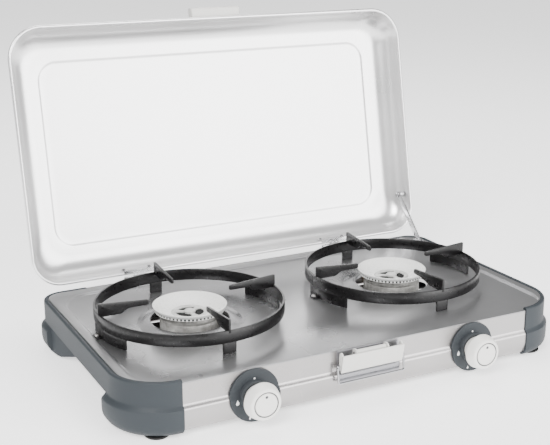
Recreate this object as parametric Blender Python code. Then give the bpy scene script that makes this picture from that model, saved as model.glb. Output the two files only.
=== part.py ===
"""Two-burner gas camping stove with a hinged lid, modelled open.

Metres, +Z up.  X runs along the stove from left to right, -Y is the front with the knobs and
the latch, and z = 0 is the surface that the rubber feet stand on.  Every sub-part is one object.
Sizes are in millimetres in the block below and are scaled by MM where a mesh is made.  They are
drawn with y = 0 at the middle of the hob sheet; at the end the stove slides so that the origin
is under the middle of its overall depth, open lid and knobs included.
"""
from math import atan2, cos, degrees, pi, radians, sin, sqrt, tan

import bmesh
import bpy
from mathutils import Matrix, Vector

for old in list(bpy.data.objects):
    bpy.data.objects.remove(old, do_unlink=True)

MM = 0.001

# ---------------------------------------------------------------- driving sizes (millimetres)
GAP = 0.3                    # gap between any two neighbouring pieces
PIN_PLAY = 0.1               # radial play of a pin in its bore
SHEET = 1.2                  # steel sheet of hob, panels and lid

HOB_HALF_WIDTH = 260.0       # hob sheet, half of its width
HOB_HALF_DEPTH = 149.0       # hob sheet, half of its depth
HOB_FRONT_RADIUS = 50.0
HOB_REAR_RADIUS = 20.0
RIM_TOP = 60.0               # height of the raised rim of the hob sheet
HOB_TOP = 57.5               # height of the sunk hob field
RIM_SIDE = 11.0              # width of the raised rim at the sides
RIM_REAR = 18.0              # and at the back

PANEL_HALF_WIDTH = 209.0     # front and back panels
PANEL_STEP_TOP = 34.5        # the panels step out below this height
PANEL_STEP_LOW = 30.0
PANEL_STEP_OUT = 3.5
PANEL_CURVE_TOP = 20.0       # and curve in below this one
PANEL_BOTTOM = 4.0
PANEL_CURVE_IN = 11.0

FRAME_SIDE = 6.0             # how far the plastic side frames stand outside the hob at the sides
FRAME_FRONT = 1.3            # and at the front and back
FRAME_WALL = 3.2
FRAME_STEP_OUT = 5.0
FRAME_BOTTOM = 3.0
FRAME_LEDGE = 4.0            # ledge under the edge of the hob sheet
ARCH_FRONT = -88.0           # hand-hold under each side rail, from y to y
ARCH_REAR = 104.0
ARCH_SLANT = 38.0            # how far its end walls lean in behind the rail
ARCH_TOP = 35.0

PAD_RADIUS = 13.0
PAD_FRONT = (230.0, -132.0)
PAD_REAR = (240.0, 108.0)

BURNER_SPACING = 263.8       # between the two burner centres
BURNER_SHIFT = -6.3          # the pair sits a little left of the middle
BURNER_Y = -1.2
BURNER_HOLE = 43.5
COLLAR_OUTER = 56.0
COLLAR_RISE = 3.0
BODY_RADIUS = 33.4
BODY_WALL = 3.6
BODY_TOP = 69.0
BODY_FLOOR = 42.0
NECK_RADIUS = 13.0
NECK_BOTTOM = 19.0
CAP_RADIUS = 41.0
CAP_TOP = 77.4

RING_RADIUS = 103.3          # middle of the pan support band
RING_THICK = 2.0
RING_TOP = 82.6
RING_BOTTOM = 69.1
FINGER_THICK = 2.4
FINGER_TIP_RADIUS = 48.0
FINGER_TIP_TOP = 90.4
FINGER_OUTER_TOP = 94.5
FINGER_TIP_HEIGHT = 6.0
FINGER_ROOT_BOTTOM = 79.0
LEG_WIDTH = 15.0
WIDE_LEG_FROM = -9.0         # degrees round the ring, on the right; the left one is opposite
WIDE_LEG_TO = 28.0
FOOT_TAB_REACH = 6.0
FOOT_TAB_WIDTH = 13.0

KNOB_X = 133.4
KNOB_Z = 29.9
BEZEL_RADIUS = 27.5
BEZEL_THICK = 2.6
KNOB_RADIUS = 19.2
KNOB_LENGTH = 22.0
KNOB_FACE_RADIUS = 15.2
KNOB_NECK_RADIUS = 12.5
INSERT_RADIUS = 12.7
INSERT_DEPTH = 2.5
SPINDLE_RADIUS = 3.0

VALVE_RADIUS = 9.0
VALVE_FRONT = -145.0
VALVE_BACK = -124.0
TUBE_RADIUS = 9.0
TUBE_WALL = 1.3
NOSE_LENGTH = 12.0
JET_RADIUS = 2.6
JET_LENGTH = 6.0
PIPE_RADIUS = 3.5
PIPE_Y = -134.0
PIPE_Z = 16.0
PIPE_TURN_X = 186.0
PIPE_BEND = 16.0
INLET_RADIUS = 6.5
INLET_LENGTH = 22.0

LID_HALF_WIDTH = 268.1       # over the rolled rim
LID_HALF_DEPTH = 153.3
LID_FRONT_RADIUS = 42.0
LID_REAR_RADIUS = 35.0
LID_BEAD = 2.2               # radius of the rolled rim
LID_DEPTH = 36.0             # from the rim plane to the inside of the lid's top
LID_FILLET = 27.0
LID_EMBOSS_INSET = 42.0      # the pressed line round the middle of the lid
LID_EMBOSS_STEP = 1.5
LID_EMBOSS_RADIUS = 22.0
LID_CLOSED_Z = 61.5          # height of the rim plane when the lid is shut
LID_OPEN_ANGLE = 101.2       # from shut to the open rest position
HINGE_Y = 156.1
HINGE_Z = 60.9
HINGE_X = 138.5
HINGE_WIDTH = 38.0
HINGE_MIDDLE = 16.0
KNUCKLE_RADIUS = 2.4
HINGE_PIN_RADIUS = 1.1
LEAF_THICK = 0.9
LEAF_DEPTH = 13.0
RIVET_RADIUS = 2.6
RIVET_SPREAD = 33.0
RIVET_DEPTH = 8.5

STAY_X = 255.0
STAY_THICK = 2.0
STAY_WIDTH = 8.0
STAY_PIVOT_Y = 50.4          # from the lid's rear edge
STAY_PIVOT_DEPTH = 14.0      # above the lid's rim plane, lid shut
STAY_REACH = 73.0            # from its pivot to the hob's rim
STAY_TAIL = 8.0              # and below the rim
STAY_ANGLE = 145.8           # swings through this as the lid shuts

CATCH_HALF_WIDTH = 33.0
CATCH_REACH = 12.3           # beyond the lid's rim
CATCH_LOW = 5.0              # above the rim plane
CATCH_HIGH = 17.0

LATCH_AXIS_Y = -155.5
LATCH_AXIS_Z = 54.0
LEVER_HALF_WIDTH = 38.0
LEVER_WALL = 2.0
LEVER_TOP = (-168.5, 57.5)   # y and z of the top and bottom edges of its outer face
LEVER_LOW = (-161.0, 37.5)
LEVER_BARREL = 2.6
EAR_X = 19.0
EAR_THICK = 1.5
LATCH_PIN_RADIUS = 1.1
BRACKET_HALF_WIDTH = 37.0
BRACKET_LOW = 23.0
BRACKET_TOP = 56.0
BAIL_WIRE = 1.2
BAIL_PIVOT = (-155.5, 42.0)
BAIL_DROP = 18.0

ROUND = 32                   # sides of large round pieces
SMALL_ROUND = 16             # and of small ones
CORNER_STEPS = 6             # segments in each rounded corner of an outline

# ---------------------------------------------------------------- materials


def material(name, colour, roughness, metallic=0.0):
    mat = bpy.data.materials.new(name)
    mat.use_nodes = True
    shader = mat.node_tree.nodes["Principled BSDF"]
    shader.inputs["Base Color"].default_value = (*colour, 1.0)
    shader.inputs["Roughness"].default_value = roughness
    shader.inputs["Metallic"].default_value = metallic
    mat.diffuse_color = (*colour, 1.0)
    return mat


SILVER = material("silver_paint", (0.62, 0.62, 0.63), 0.35, 0.6)
GREY_PLASTIC = material("grey_plastic", (0.10, 0.115, 0.125), 0.5)
RUBBER = material("black_rubber", (0.02, 0.02, 0.02), 0.8)
ALUMINIUM = material("cast_aluminium", (0.5, 0.5, 0.49), 0.5, 0.9)
ENAMEL = material("white_enamel", (0.80, 0.80, 0.78), 0.3)
BLACK_ENAMEL = material("black_enamel", (0.03, 0.03, 0.032), 0.4)
CREAM = material("cream_plastic", (0.75, 0.74, 0.70), 0.4)
STEEL = material("bright_steel", (0.6, 0.6, 0.6), 0.25, 1.0)
BRASS = material("brass", (0.60, 0.45, 0.20), 0.35, 1.0)

# ---------------------------------------------------------------- mesh helpers


def rounded_outline(half_x, y_front, y_rear, front_radius, rear_radius):
    """Counter-clockwise outline of a rectangle with its own front and rear corner radii."""
    corners = (
        (half_x - rear_radius, y_rear - rear_radius, rear_radius, 0.0),
        (-half_x + rear_radius, y_rear - rear_radius, rear_radius, 90.0),
        (-half_x + front_radius, y_front + front_radius, front_radius, 180.0),
        (half_x - front_radius, y_front + front_radius, front_radius, 270.0),
    )
    points = []
    for cx, cy, radius, start in corners:
        for step in range(CORNER_STEPS + 1):
            angle = radians(start + 90.0 * step / CORNER_STEPS)
            points.append((cx + radius * cos(angle), cy + radius * sin(angle)))
    return points


def loft(rings):
    """Closed mesh through rings of equally many (x, y, z) points, with flat ends."""
    bm = bmesh.new()
    rows = [[bm.verts.new(Vector(p) * MM) for p in ring] for ring in rings]
    count = len(rows[0])
    for low, high in zip(rows, rows[1:]):
        for i in range(count):
            j = (i + 1) % count
            bm.faces.new((low[i], low[j], high[j], high[i]))
    bm.faces.new(list(reversed(rows[0])))
    bm.faces.new(rows[-1])
    bmesh.ops.recalc_face_normals(bm, faces=bm.faces)
    return bm


def prism(outline, low, high):
    return loft([[(x, y, z) for x, y in outline] for z in (low, high)])


def side_prism(outline_yz, x_from, x_to):
    """An outline drawn in the YZ plane, extruded along X."""
    return loft([[(x, y, z) for y, z in outline_yz] for x in (x_from, x_to)])


def box(x0, x1, y0, y1, z0, z1):
    return prism([(x0, y0), (x1, y0), (x1, y1), (x0, y1)], z0, z1)


def turned(profile, sides=ROUND, ring=False):
    """Turn (radius, height) points about Z; a ring's profile is closed and misses the axis."""
    bm = bmesh.new()
    rows = []
    for radius, height in profile:
        if radius == 0.0:
            rows.append([bm.verts.new((0.0, 0.0, height * MM))])
            continue
        row = []
        for i in range(sides):
            angle = 2.0 * pi * i / sides
            row.append(bm.verts.new((radius * cos(angle) * MM, radius * sin(angle) * MM, height * MM)))
        rows.append(row)
    if ring:
        rows.append(rows[0])
    for low, high in zip(rows, rows[1:]):
        for i in range(sides):
            j = (i + 1) % sides
            corners = [low[i % len(low)], low[j % len(low)], high[j % len(high)], high[i % len(high)]]
            unique = [v for k, v in enumerate(corners) if v not in corners[:k]]
            if len(unique) > 2:
                bm.faces.new(unique)
    if not ring and len(rows[0]) > 1:
        bm.faces.new(rows[0])
    if not ring and len(rows[-1]) > 1:
        bm.faces.new(rows[-1])
    bmesh.ops.recalc_face_normals(bm, faces=bm.faces)
    return bm


def rod(radius, length, sides=SMALL_ROUND, bore=0.0):
    """A round bar, or a tube, along +Z from the origin."""
    if bore:
        return turned([(bore, 0), (radius, 0), (radius, length), (bore, length)], sides, ring=True)
    return turned([(radius, 0), (radius, length)], sides)


def bent_rod(path, radius, sides=12):
    """Round rod through (x, y, z) points, mitred at every bend."""
    points = [Vector(p) for p in path]
    runs = [(b - a).normalized() for a, b in zip(points, points[1:])]
    across = runs[0].orthogonal().normalized()
    rings = []
    for i, point in enumerate(points):
        before = runs[max(i - 1, 0)]
        after = runs[min(i, len(runs) - 1)]
        plane = (before + after).normalized()
        ring = []
        for k in range(sides):
            offset = Matrix.Rotation(2.0 * pi * k / sides, 3, before) @ across * radius
            offset -= before * (offset.dot(plane) / before.dot(plane))
            ring.append(point + offset)
        rings.append(ring)
        across = before.rotation_difference(after) @ across
    return loft(rings)


def along_y(bm, x, y, z, reverse=False):
    """Lay a piece that was turned about Z along +Y, or along -Y, from the given point."""
    turn = Matrix.Rotation(radians(90.0 if reverse else -90.0), 4, "X")
    bm.transform(Matrix.Translation(Vector((x, y, z)) * MM) @ turn)
    return bm


def along_x(bm, x, y, z):
    turn = Matrix.Rotation(radians(90.0), 4, "Y")
    bm.transform(Matrix.Translation(Vector((x, y, z)) * MM) @ turn)
    return bm


def moved(bm, x, y, z):
    bm.transform(Matrix.Translation(Vector((x, y, z)) * MM))
    return bm


def sheet_outline(path, thickness):
    """Closed outline of a folded sheet: the (y, z) path and its copy offset to the path's left."""
    offset = []
    for i, (y, z) in enumerate(path):
        normals = []
        for a, b in ((i - 1, i), (i, i + 1)):
            if a < 0 or b >= len(path):
                continue
            run = Vector((path[b][0] - path[a][0], path[b][1] - path[a][1])).normalized()
            normals.append(Vector((-run.y, run.x)))
        mean = sum(normals, Vector((0.0, 0.0))).normalized()
        reach = thickness / mean.dot(normals[0])
        offset.append((y + mean.x * reach, z + mean.y * reach))
    return list(path) + list(reversed(offset))


EMPTIES = {}


def axis_empty(name, x, y, z, parent=None, turn=0.0):
    """An empty on a joint's axis, turned about X; pieces are drawn as if no empty were turned."""
    empty = bpy.data.objects.new(name, None)
    empty.empty_display_size = 0.02
    base = EMPTIES.get(parent.name, (0.0, 0.0, 0.0)) if parent else (0.0, 0.0, 0.0)
    empty.location = (Vector((x, y, z)) - Vector(base)) * MM
    empty.rotation_euler.x = radians(turn)
    empty.parent = parent
    bpy.context.collection.objects.link(empty)
    EMPTIES[name] = (x, y, z)
    return empty


def add(name, bm, mat, parent=None, smooth=30.0):
    """Make the object; a child of an axis empty keeps its mesh about that empty's origin."""
    mesh = bpy.data.meshes.new(name)
    if parent is not None and parent.name in EMPTIES:
        x, y, z = EMPTIES[parent.name]
        bm.transform(Matrix.Translation(Vector((-x, -y, -z)) * MM))
    bm.to_mesh(mesh)
    bm.free()
    mesh.materials.append(mat)
    mesh.shade_smooth()
    mesh.set_sharp_from_angle(angle=radians(smooth))
    obj = bpy.data.objects.new(name, mesh)
    obj.parent = parent
    bpy.context.collection.objects.link(obj)
    return obj


def combine(obj, bm, operation="DIFFERENCE"):
    """Cut, join or intersect a mesh given in the same coordinates as the object's own bmesh."""
    mesh = bpy.data.meshes.new(obj.name + "_tool")
    if obj.parent is not None and obj.parent.name in EMPTIES:
        x, y, z = EMPTIES[obj.parent.name]
        bm.transform(Matrix.Translation(Vector((-x, -y, -z)) * MM))
    bm.to_mesh(mesh)
    bm.free()
    tool = bpy.data.objects.new(obj.name + "_tool", mesh)
    tool.parent = obj.parent
    tool.hide_render = True
    tool.display_type = "WIRE"
    bpy.context.collection.objects.link(tool)
    modifier = obj.modifiers.new(operation.lower(), "BOOLEAN")
    modifier.operation = operation
    modifier.solver = "EXACT"
    modifier.object = tool
    return tool


ROOT = axis_empty("stove_origin", 0.0, 0.0, 0.0)

# ---------------------------------------------------------------- outlines shared by the base


def hob_outline(inset=0.0):
    return rounded_outline(HOB_HALF_WIDTH - inset, -HOB_HALF_DEPTH + inset, HOB_HALF_DEPTH - inset,
                           HOB_FRONT_RADIUS - inset, HOB_REAR_RADIUS - inset)


def field_outline(grow=0.0):
    """The sunk field of the hob: it runs out through the front edge, where there is no rim."""
    half = HOB_HALF_WIDTH - RIM_SIDE + grow
    front_radius = HOB_FRONT_RADIUS - RIM_SIDE + grow
    return rounded_outline(half, -HOB_HALF_DEPTH - 1.0 - grow, HOB_HALF_DEPTH - RIM_REAR + grow,
                           front_radius, 12.0 + grow)


def panel_path(out=0.0):
    """Front panel in (y, z), outer face, from top to bottom; `out` moves it outwards."""
    y = -HOB_HALF_DEPTH - out
    low = y - PANEL_STEP_OUT
    path = [(y, HOB_TOP - SHEET - GAP), (y, PANEL_STEP_TOP), (low, PANEL_STEP_LOW),
            (low, PANEL_CURVE_TOP)]
    height = PANEL_CURVE_TOP - PANEL_BOTTOM
    for step in range(1, 5):
        angle = radians(90.0 * step / 5.0)
        path.append((low + PANEL_CURVE_IN * (1.0 - cos(angle)), PANEL_CURVE_TOP - height * sin(angle)))
    path.append((low + PANEL_CURVE_IN + 6.0, PANEL_BOTTOM))
    return path


def frame_rings(inset):
    """Rings of the plastic side frames' skin, bottom to top; `inset` gives the inner skin."""
    side = HOB_HALF_WIDTH + FRAME_SIDE
    depth = HOB_HALF_DEPTH + FRAME_FRONT
    front_radius = HOB_FRONT_RADIUS + FRAME_SIDE
    rear_radius = HOB_REAR_RADIUS + FRAME_SIDE
    height = PANEL_CURVE_TOP - FRAME_BOTTOM
    levels = []
    for step in range(6):
        angle = radians(90.0 * (5 - step) / 5.0)
        levels.append((PANEL_CURVE_TOP - height * sin(angle),
                       FRAME_STEP_OUT - PANEL_CURVE_IN * (1.0 - cos(angle))))
    levels.append((PANEL_STEP_LOW, FRAME_STEP_OUT))
    levels.append((PANEL_STEP_TOP, 0.0))
    levels.append((RIM_TOP + 0.5, 0.0))
    rings = []
    for z, out in levels:
        grow_side = out - inset
        grow_front = min(out, PANEL_STEP_OUT) - inset
        outline = rounded_outline(side + grow_side, -depth - grow_front, depth + grow_front,
                                  front_radius + grow_side, rear_radius + grow_side)
        rings.append([(x, y, z) for x, y in outline])
    return rings


# ---------------------------------------------------------------- base sheets


def build_hob():
    hob = add("hob_plate", prism(hob_outline(), HOB_TOP - SHEET, RIM_TOP), SILVER, ROOT)
    combine(hob, prism(field_outline(), HOB_TOP, RIM_TOP + 5.0))
    under = combine(hob, prism(hob_outline(-6.0), HOB_TOP - 10.0, RIM_TOP - SHEET))
    combine(under, prism(field_outline(SHEET), HOB_TOP - 15.0, RIM_TOP + 5.0))
    for x in burner_positions():
        hole = rod(COLLAR_OUTER - 2.5, 20.0, ROUND)
        combine(hob, moved(hole, x, BURNER_Y, HOB_TOP - 10.0))
        low = HOB_TOP - SHEET + 0.3
        top = HOB_TOP + COLLAR_RISE
        collar = turned([(COLLAR_OUTER, low), (COLLAR_OUTER, low + 0.6), (BURNER_HOLE + 3.0, top),
                         (BURNER_HOLE, top), (BURNER_HOLE, top - SHEET),
                         (BURNER_HOLE + 2.6, top - SHEET), (COLLAR_OUTER - 3.5, low)], ROUND, ring=True)
        combine(hob, moved(collar, x, BURNER_Y, 0.0), "UNION")
        for angle in (0.0, 180.0):
            sx, sy = tab_screw_place(x, angle)
            combine(hob, moved(rod(1.5, 10.0), sx, sy, HOB_TOP - 5.0))
    combine(hob, stay_slot())
    return hob


def burner_positions():
    return (BURNER_SHIFT - BURNER_SPACING / 2.0, BURNER_SHIFT + BURNER_SPACING / 2.0)


def stay_slot():
    """Slot in the right rim that the foot of the lid stay drops into."""
    y = stay_foot_y()
    half = STAY_THICK / 2.0 + 2 * GAP
    return box(STAY_X - half, STAY_X + half, y - 18.0, y + 7.0, HOB_TOP - 25.0, RIM_TOP + 5.0)


def stay_foot_y():
    """Where the stay crosses the rim, from the open lid's pivot."""
    pivot_y, pivot_z, tilt = stay_pivot_open()
    return pivot_y - (pivot_z - RIM_TOP) / tan(tilt)


def stay_pivot_open():
    """The stay's pivot in (y, z) with the lid open, and the stay's slope from the horizontal."""
    back = LID_HALF_DEPTH - STAY_PIVOT_Y - HINGE_Y
    up = LID_CLOSED_Z + STAY_PIVOT_DEPTH - HINGE_Z
    turn = radians(-LID_OPEN_ANGLE)
    y = HINGE_Y + back * cos(turn) - up * sin(turn)
    z = HINGE_Z + back * sin(turn) + up * cos(turn)
    slope = radians(180.0 - LID_OPEN_ANGLE + STAY_ANGLE - 180.0)
    return y, z, slope


def build_panels():
    path = panel_path()
    outline = sheet_outline(path, SHEET)
    front = add("front_panel", side_prism(outline, -PANEL_HALF_WIDTH, PANEL_HALF_WIDTH), SILVER, ROOT)
    for side in (-1, 1):
        hole = along_y(rod(SPINDLE_RADIUS + 3.0, 40.0), side * KNOB_X, -HOB_HALF_DEPTH - 20.0, KNOB_Z)
        combine(front, hole)
    for x in latch_rivet_places():
        combine(front, along_y(rod(2.0, 30.0), x, -HOB_HALF_DEPTH - 15.0, latch_rivet_height()))
    rear_outline = [(-y, z) for y, z in outline]
    rear = add("back_panel", side_prism(rear_outline, -PANEL_HALF_WIDTH, PANEL_HALF_WIDTH), SILVER, ROOT)
    combine(rear, along_y(rod(PIPE_RADIUS + 1.5, 40.0), PIPE_TURN_X, HOB_HALF_DEPTH - 20.0, PIPE_Z))
    edge = -path[-1][0] - GAP
    half = PANEL_HALF_WIDTH - 1.0
    add("base_sheet", box(-half, half, -edge, edge, PANEL_BOTTOM, PANEL_BOTTOM + SHEET), STEEL, ROOT)


def latch_rivet_places():
    return (-BRACKET_HALF_WIDTH + 7.0, BRACKET_HALF_WIDTH - 7.0)


def latch_rivet_height():
    return (PANEL_STEP_TOP + BRACKET_TOP) / 2.0


# ---------------------------------------------------------------- plastic side frames and feet


def arch_outline(side, grow):
    """Plan of the hand-hold under a side rail; its end walls slant in behind the rail."""
    outer = side * (HOB_HALF_WIDTH + 40.0)
    skin = side * (HOB_HALF_WIDTH + FRAME_SIDE)
    inner = side * (HOB_HALF_WIDTH - 10.0)
    deep = side * (HOB_HALF_WIDTH - 60.0)
    points = [(outer, ARCH_FRONT - grow), (skin, ARCH_FRONT - grow),
              (inner, ARCH_FRONT + ARCH_SLANT - grow), (deep, ARCH_FRONT + ARCH_SLANT - grow),
              (deep, ARCH_REAR - ARCH_SLANT + grow), (inner, ARCH_REAR - ARCH_SLANT + grow),
              (skin, ARCH_REAR + grow), (outer, ARCH_REAR + grow)]
    return points if side > 0 else list(reversed(points))


def build_side_frame(side, name):
    frame = add(name, loft(frame_rings(0.0)), GREY_PLASTIC, ROOT)
    inner = [ring for ring in frame_rings(FRAME_WALL) if ring[0][2] > FRAME_BOTTOM + 0.1]
    floor = [(x, y, FRAME_BOTTOM + FRAME_WALL) for x, y, z in inner[0]]
    roof = [(x, y, RIM_TOP + 5.0) for x, y, z in inner[-1]]
    cavity = add(name + "_cavity", loft([floor] + inner[1:] + [roof]), GREY_PLASTIC, ROOT)
    cavity.hide_render = True
    cavity.display_type = "WIRE"
    wall = prism(arch_outline(side, FRAME_WALL), 0.0, ARCH_TOP + FRAME_WALL)
    combine(cavity, wall)
    core = rounded_outline(HOB_HALF_WIDTH - FRAME_LEDGE, -HOB_HALF_DEPTH + FRAME_LEDGE,
                           HOB_HALF_DEPTH - FRAME_LEDGE, HOB_FRONT_RADIUS - FRAME_LEDGE,
                           HOB_REAR_RADIUS - FRAME_LEDGE)
    modifier = frame.modifiers.new("hollow", "BOOLEAN")
    modifier.operation = "DIFFERENCE"
    modifier.solver = "EXACT"
    modifier.object = cavity
    ledge_low = HOB_TOP - SHEET - 4.0
    ledge = prism(rounded_outline(HOB_HALF_WIDTH + 3.0, -HOB_HALF_DEPTH + 0.5, HOB_HALF_DEPTH - 0.5,
                                  HOB_FRONT_RADIUS + 3.0, HOB_REAR_RADIUS + 3.0),
                  ledge_low, RIM_TOP - SHEET - GAP)
    combine(frame, ledge, "UNION")
    combine(frame, prism(core, HOB_TOP - 25.0, RIM_TOP + 5.0))
    combine(frame, prism(hob_outline(-GAP), RIM_TOP - SHEET - GAP, RIM_TOP + 5.0))
    sunk = combine(frame, prism(hob_outline(-GAP), HOB_TOP - SHEET - GAP, RIM_TOP + 4.0))
    combine(sunk, prism(field_outline(SHEET + GAP), HOB_TOP - 20.0, RIM_TOP + 8.0), "INTERSECT")
    far = -side * (HOB_HALF_WIDTH + 60.0)
    near = side * (PANEL_HALF_WIDTH + GAP)
    half = HOB_HALF_DEPTH + 40.0
    combine(frame, box(min(far, near), max(far, near), -half, half, -5.0, RIM_TOP + 10.0))
    combine(frame, prism(arch_outline(side, 0.0), -5.0, ARCH_TOP))
    if side > 0:
        combine(frame, stay_slot())
    return frame


def build_feet():
    for side, side_name in ((-1, "left"), (1, "right")):
        for (x, y), row in ((PAD_FRONT, "front"), (PAD_REAR, "rear")):
            pad = turned([(PAD_RADIUS - 1.5, 0.0), (PAD_RADIUS, 1.2),
                          (PAD_RADIUS, FRAME_BOTTOM - GAP)], 32)
            add("foot_pad_%s_%s" % (row, side_name), moved(pad, side * x, y, 0.0), RUBBER, ROOT)


# ---------------------------------------------------------------- burners


def burner_body_profile():
    wall = BODY_RADIUS - BODY_WALL
    return [(0.0, NECK_BOTTOM), (NECK_RADIUS, NECK_BOTTOM), (NECK_RADIUS, BODY_FLOOR - 4.0),
            (BODY_RADIUS - 5.0, BODY_FLOOR), (BODY_RADIUS, BODY_FLOOR + 6.0), (BODY_RADIUS, BODY_TOP),
            (wall, BODY_TOP), (wall, BODY_FLOOR + 7.0), (wall - 4.0, BODY_FLOOR + 4.0),
            (NECK_RADIUS - 3.0, BODY_FLOOR), (NECK_RADIUS - 3.0, NECK_BOTTOM + 3.0),
            (0.0, NECK_BOTTOM + 3.0)]


def cap_profile():
    foot = BODY_TOP + GAP
    inner = BODY_RADIUS - BODY_WALL - GAP
    return [(0.0, foot + 0.2), (inner - 2.0, foot + 0.2), (inner - 2.0, foot - 3.0),
            (inner, foot - 3.0), (inner, foot), (BODY_RADIUS + 3.0, foot),
            (BODY_RADIUS + 4.2, foot + 1.2), (BODY_RADIUS + 4.6, foot + 4.0),
            (CAP_RADIUS, CAP_TOP - 1.4), (CAP_RADIUS, CAP_TOP - 0.4), (CAP_RADIUS - 0.8, CAP_TOP),
            (36.0, CAP_TOP - 1.6), (28.0, CAP_TOP - 3.4), (18.0, CAP_TOP - 4.6),
            (14.5, CAP_TOP - 5.1), (13.0, foot + 1.8), (0.0, foot + 1.8)]


def tube_ends(x, side):
    """Centre line of the mixing tube in plan, from the valve's nose to the burner's neck."""
    start = Vector((side * KNOB_X, VALVE_BACK + 2.0))
    end = Vector((x, BURNER_Y - NECK_RADIUS + 4.0))
    return start, end


def tube_piece(bm, x, side, offset=0.0):
    """Lay a piece turned about Z along the mixing tube, starting `offset` along it."""
    start, end = tube_ends(x, side)
    run = (end - start).normalized()
    turn = Matrix.Rotation(atan2(run.y, run.x), 4, "Z") @ Matrix.Rotation(radians(90.0), 4, "Y")
    place = start + run * offset
    bm.transform(Matrix.Translation(Vector((place.x, place.y, KNOB_Z)) * MM) @ turn)
    return bm


def build_burner(x, side, side_name):
    body = add("burner_body_" + side_name,
               moved(turned(burner_body_profile(), ROUND), x, BURNER_Y, 0.0), ALUMINIUM, ROOT)
    start, end = tube_ends(x, side)
    length = (end - start).length
    combine(body, tube_piece(rod(TUBE_RADIUS + GAP, length), x, side, GAP))
    add("burner_cap_" + side_name, moved(turned(cap_profile(), ROUND), x, BURNER_Y, 0.0), ENAMEL, ROOT)
    tube = add("mixing_tube_" + side_name,
               tube_piece(rod(TUBE_RADIUS, length, 24, TUBE_RADIUS - TUBE_WALL), x, side), STEEL, ROOT)
    slot = box(-TUBE_RADIUS - 2.0, TUBE_RADIUS + 2.0, -3.0, 3.0, NOSE_LENGTH + 4.0, NOSE_LENGTH + 16.0)
    combine(tube, tube_piece(slot, x, side))

    valve_length = VALVE_BACK - VALVE_FRONT
    nose = TUBE_RADIUS - TUBE_WALL - 1.7
    valve = add("valve_body_" + side_name,
                along_y(turned([(SPINDLE_RADIUS + GAP, 8.0), (SPINDLE_RADIUS + GAP, 0.0),
                                (VALVE_RADIUS - 1.5, 0.0), (VALVE_RADIUS, 1.5),
                                (VALVE_RADIUS, valve_length), (nose, valve_length),
                                (nose, valve_length + NOSE_LENGTH)], 24),
                        side * KNOB_X, VALVE_FRONT, KNOB_Z), BRASS, ROOT)
    boss = rod(5.0, KNOB_Z - VALVE_RADIUS + 3.0 - PIPE_Z - PIPE_RADIUS - GAP)
    combine(valve, moved(boss, side * KNOB_X, PIPE_Y, PIPE_Z + PIPE_RADIUS + GAP), "UNION")
    jet = turned([(JET_RADIUS, 0.0), (JET_RADIUS, JET_LENGTH - 2.0), (1.0, JET_LENGTH)], 6)
    add("jet_" + side_name,
        along_y(jet, side * KNOB_X, VALVE_BACK + NOSE_LENGTH + GAP, KNOB_Z), BRASS, ROOT)


def build_gas_line():
    """One bent pipe: under both valves, round the right end and back to the inlet."""
    points = [(-KNOB_X - 10.0, PIPE_Y), (KNOB_X + 10.0, PIPE_Y)]
    for step in range(9):
        angle = radians(-90.0 + 90.0 * step / 8)
        points.append((PIPE_TURN_X - PIPE_BEND + PIPE_BEND * cos(angle),
                       PIPE_Y + PIPE_BEND + PIPE_BEND * sin(angle)))
    points.append((PIPE_TURN_X, HOB_HALF_DEPTH + PANEL_STEP_OUT))
    add("gas_pipe", bent_rod([(x, y, PIPE_Z) for x, y in points], PIPE_RADIUS), BRASS, ROOT)

    start = HOB_HALF_DEPTH + PANEL_STEP_OUT + GAP
    barb = [(INLET_RADIUS, 0.0), (INLET_RADIUS, 6.0), (4.0, 6.0)]
    for step in range(3):
        base = 8.0 + step * 4.5
        barb += [(4.0, base), (5.0, base + 0.5), (4.0, base + 4.0)]
    barb += [(3.6, INLET_LENGTH)]
    add("gas_inlet", along_y(turned([(2.0, 0.0)] + barb + [(2.0, INLET_LENGTH)], 16, ring=True),
                             PIPE_TURN_X, start, PIPE_Z), BRASS, ROOT)


# ---------------------------------------------------------------- pan supports


def tab_screw_place(x, angle):
    reach = RING_RADIUS + RING_THICK / 2.0 + FOOT_TAB_REACH - 3.4
    return x + reach * cos(radians(angle)), BURNER_Y + reach * sin(radians(angle))


def band_arc(x, from_angle, to_angle, low, high, steps):
    """A curved strip of the pan support's band between two angles."""
    rings = []
    for step in range(steps + 1):
        angle = radians(from_angle + (to_angle - from_angle) * step / steps)
        ring = []
        for radius, z in ((RING_RADIUS - RING_THICK / 2, low), (RING_RADIUS + RING_THICK / 2, low),
                          (RING_RADIUS + RING_THICK / 2, high), (RING_RADIUS - RING_THICK / 2, high)):
            ring.append((x + radius * cos(angle), BURNER_Y + radius * sin(angle), z))
        rings.append(ring)
    return loft(rings)


def finger(x, angle):
    root = RING_RADIUS + RING_THICK / 4.0
    outline = [(root, FINGER_ROOT_BOTTOM), (root, FINGER_OUTER_TOP), (FINGER_TIP_RADIUS, FINGER_TIP_TOP),
               (FINGER_TIP_RADIUS, FINGER_TIP_TOP - FINGER_TIP_HEIGHT),
               (FINGER_TIP_RADIUS + 23.0, FINGER_TIP_TOP - FINGER_TIP_HEIGHT + 0.2),
               (FINGER_TIP_RADIUS + 30.0, FINGER_ROOT_BOTTOM + 1.0)]
    half = FINGER_THICK / 2.0
    bm = loft([[(r, y, z) for r, z in outline] for y in (-half, half)])
    turn = Matrix.Translation(Vector((x, BURNER_Y, 0.0)) * MM) @ Matrix.Rotation(radians(angle), 4, "Z")
    bm.transform(turn)
    return bm


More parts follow.
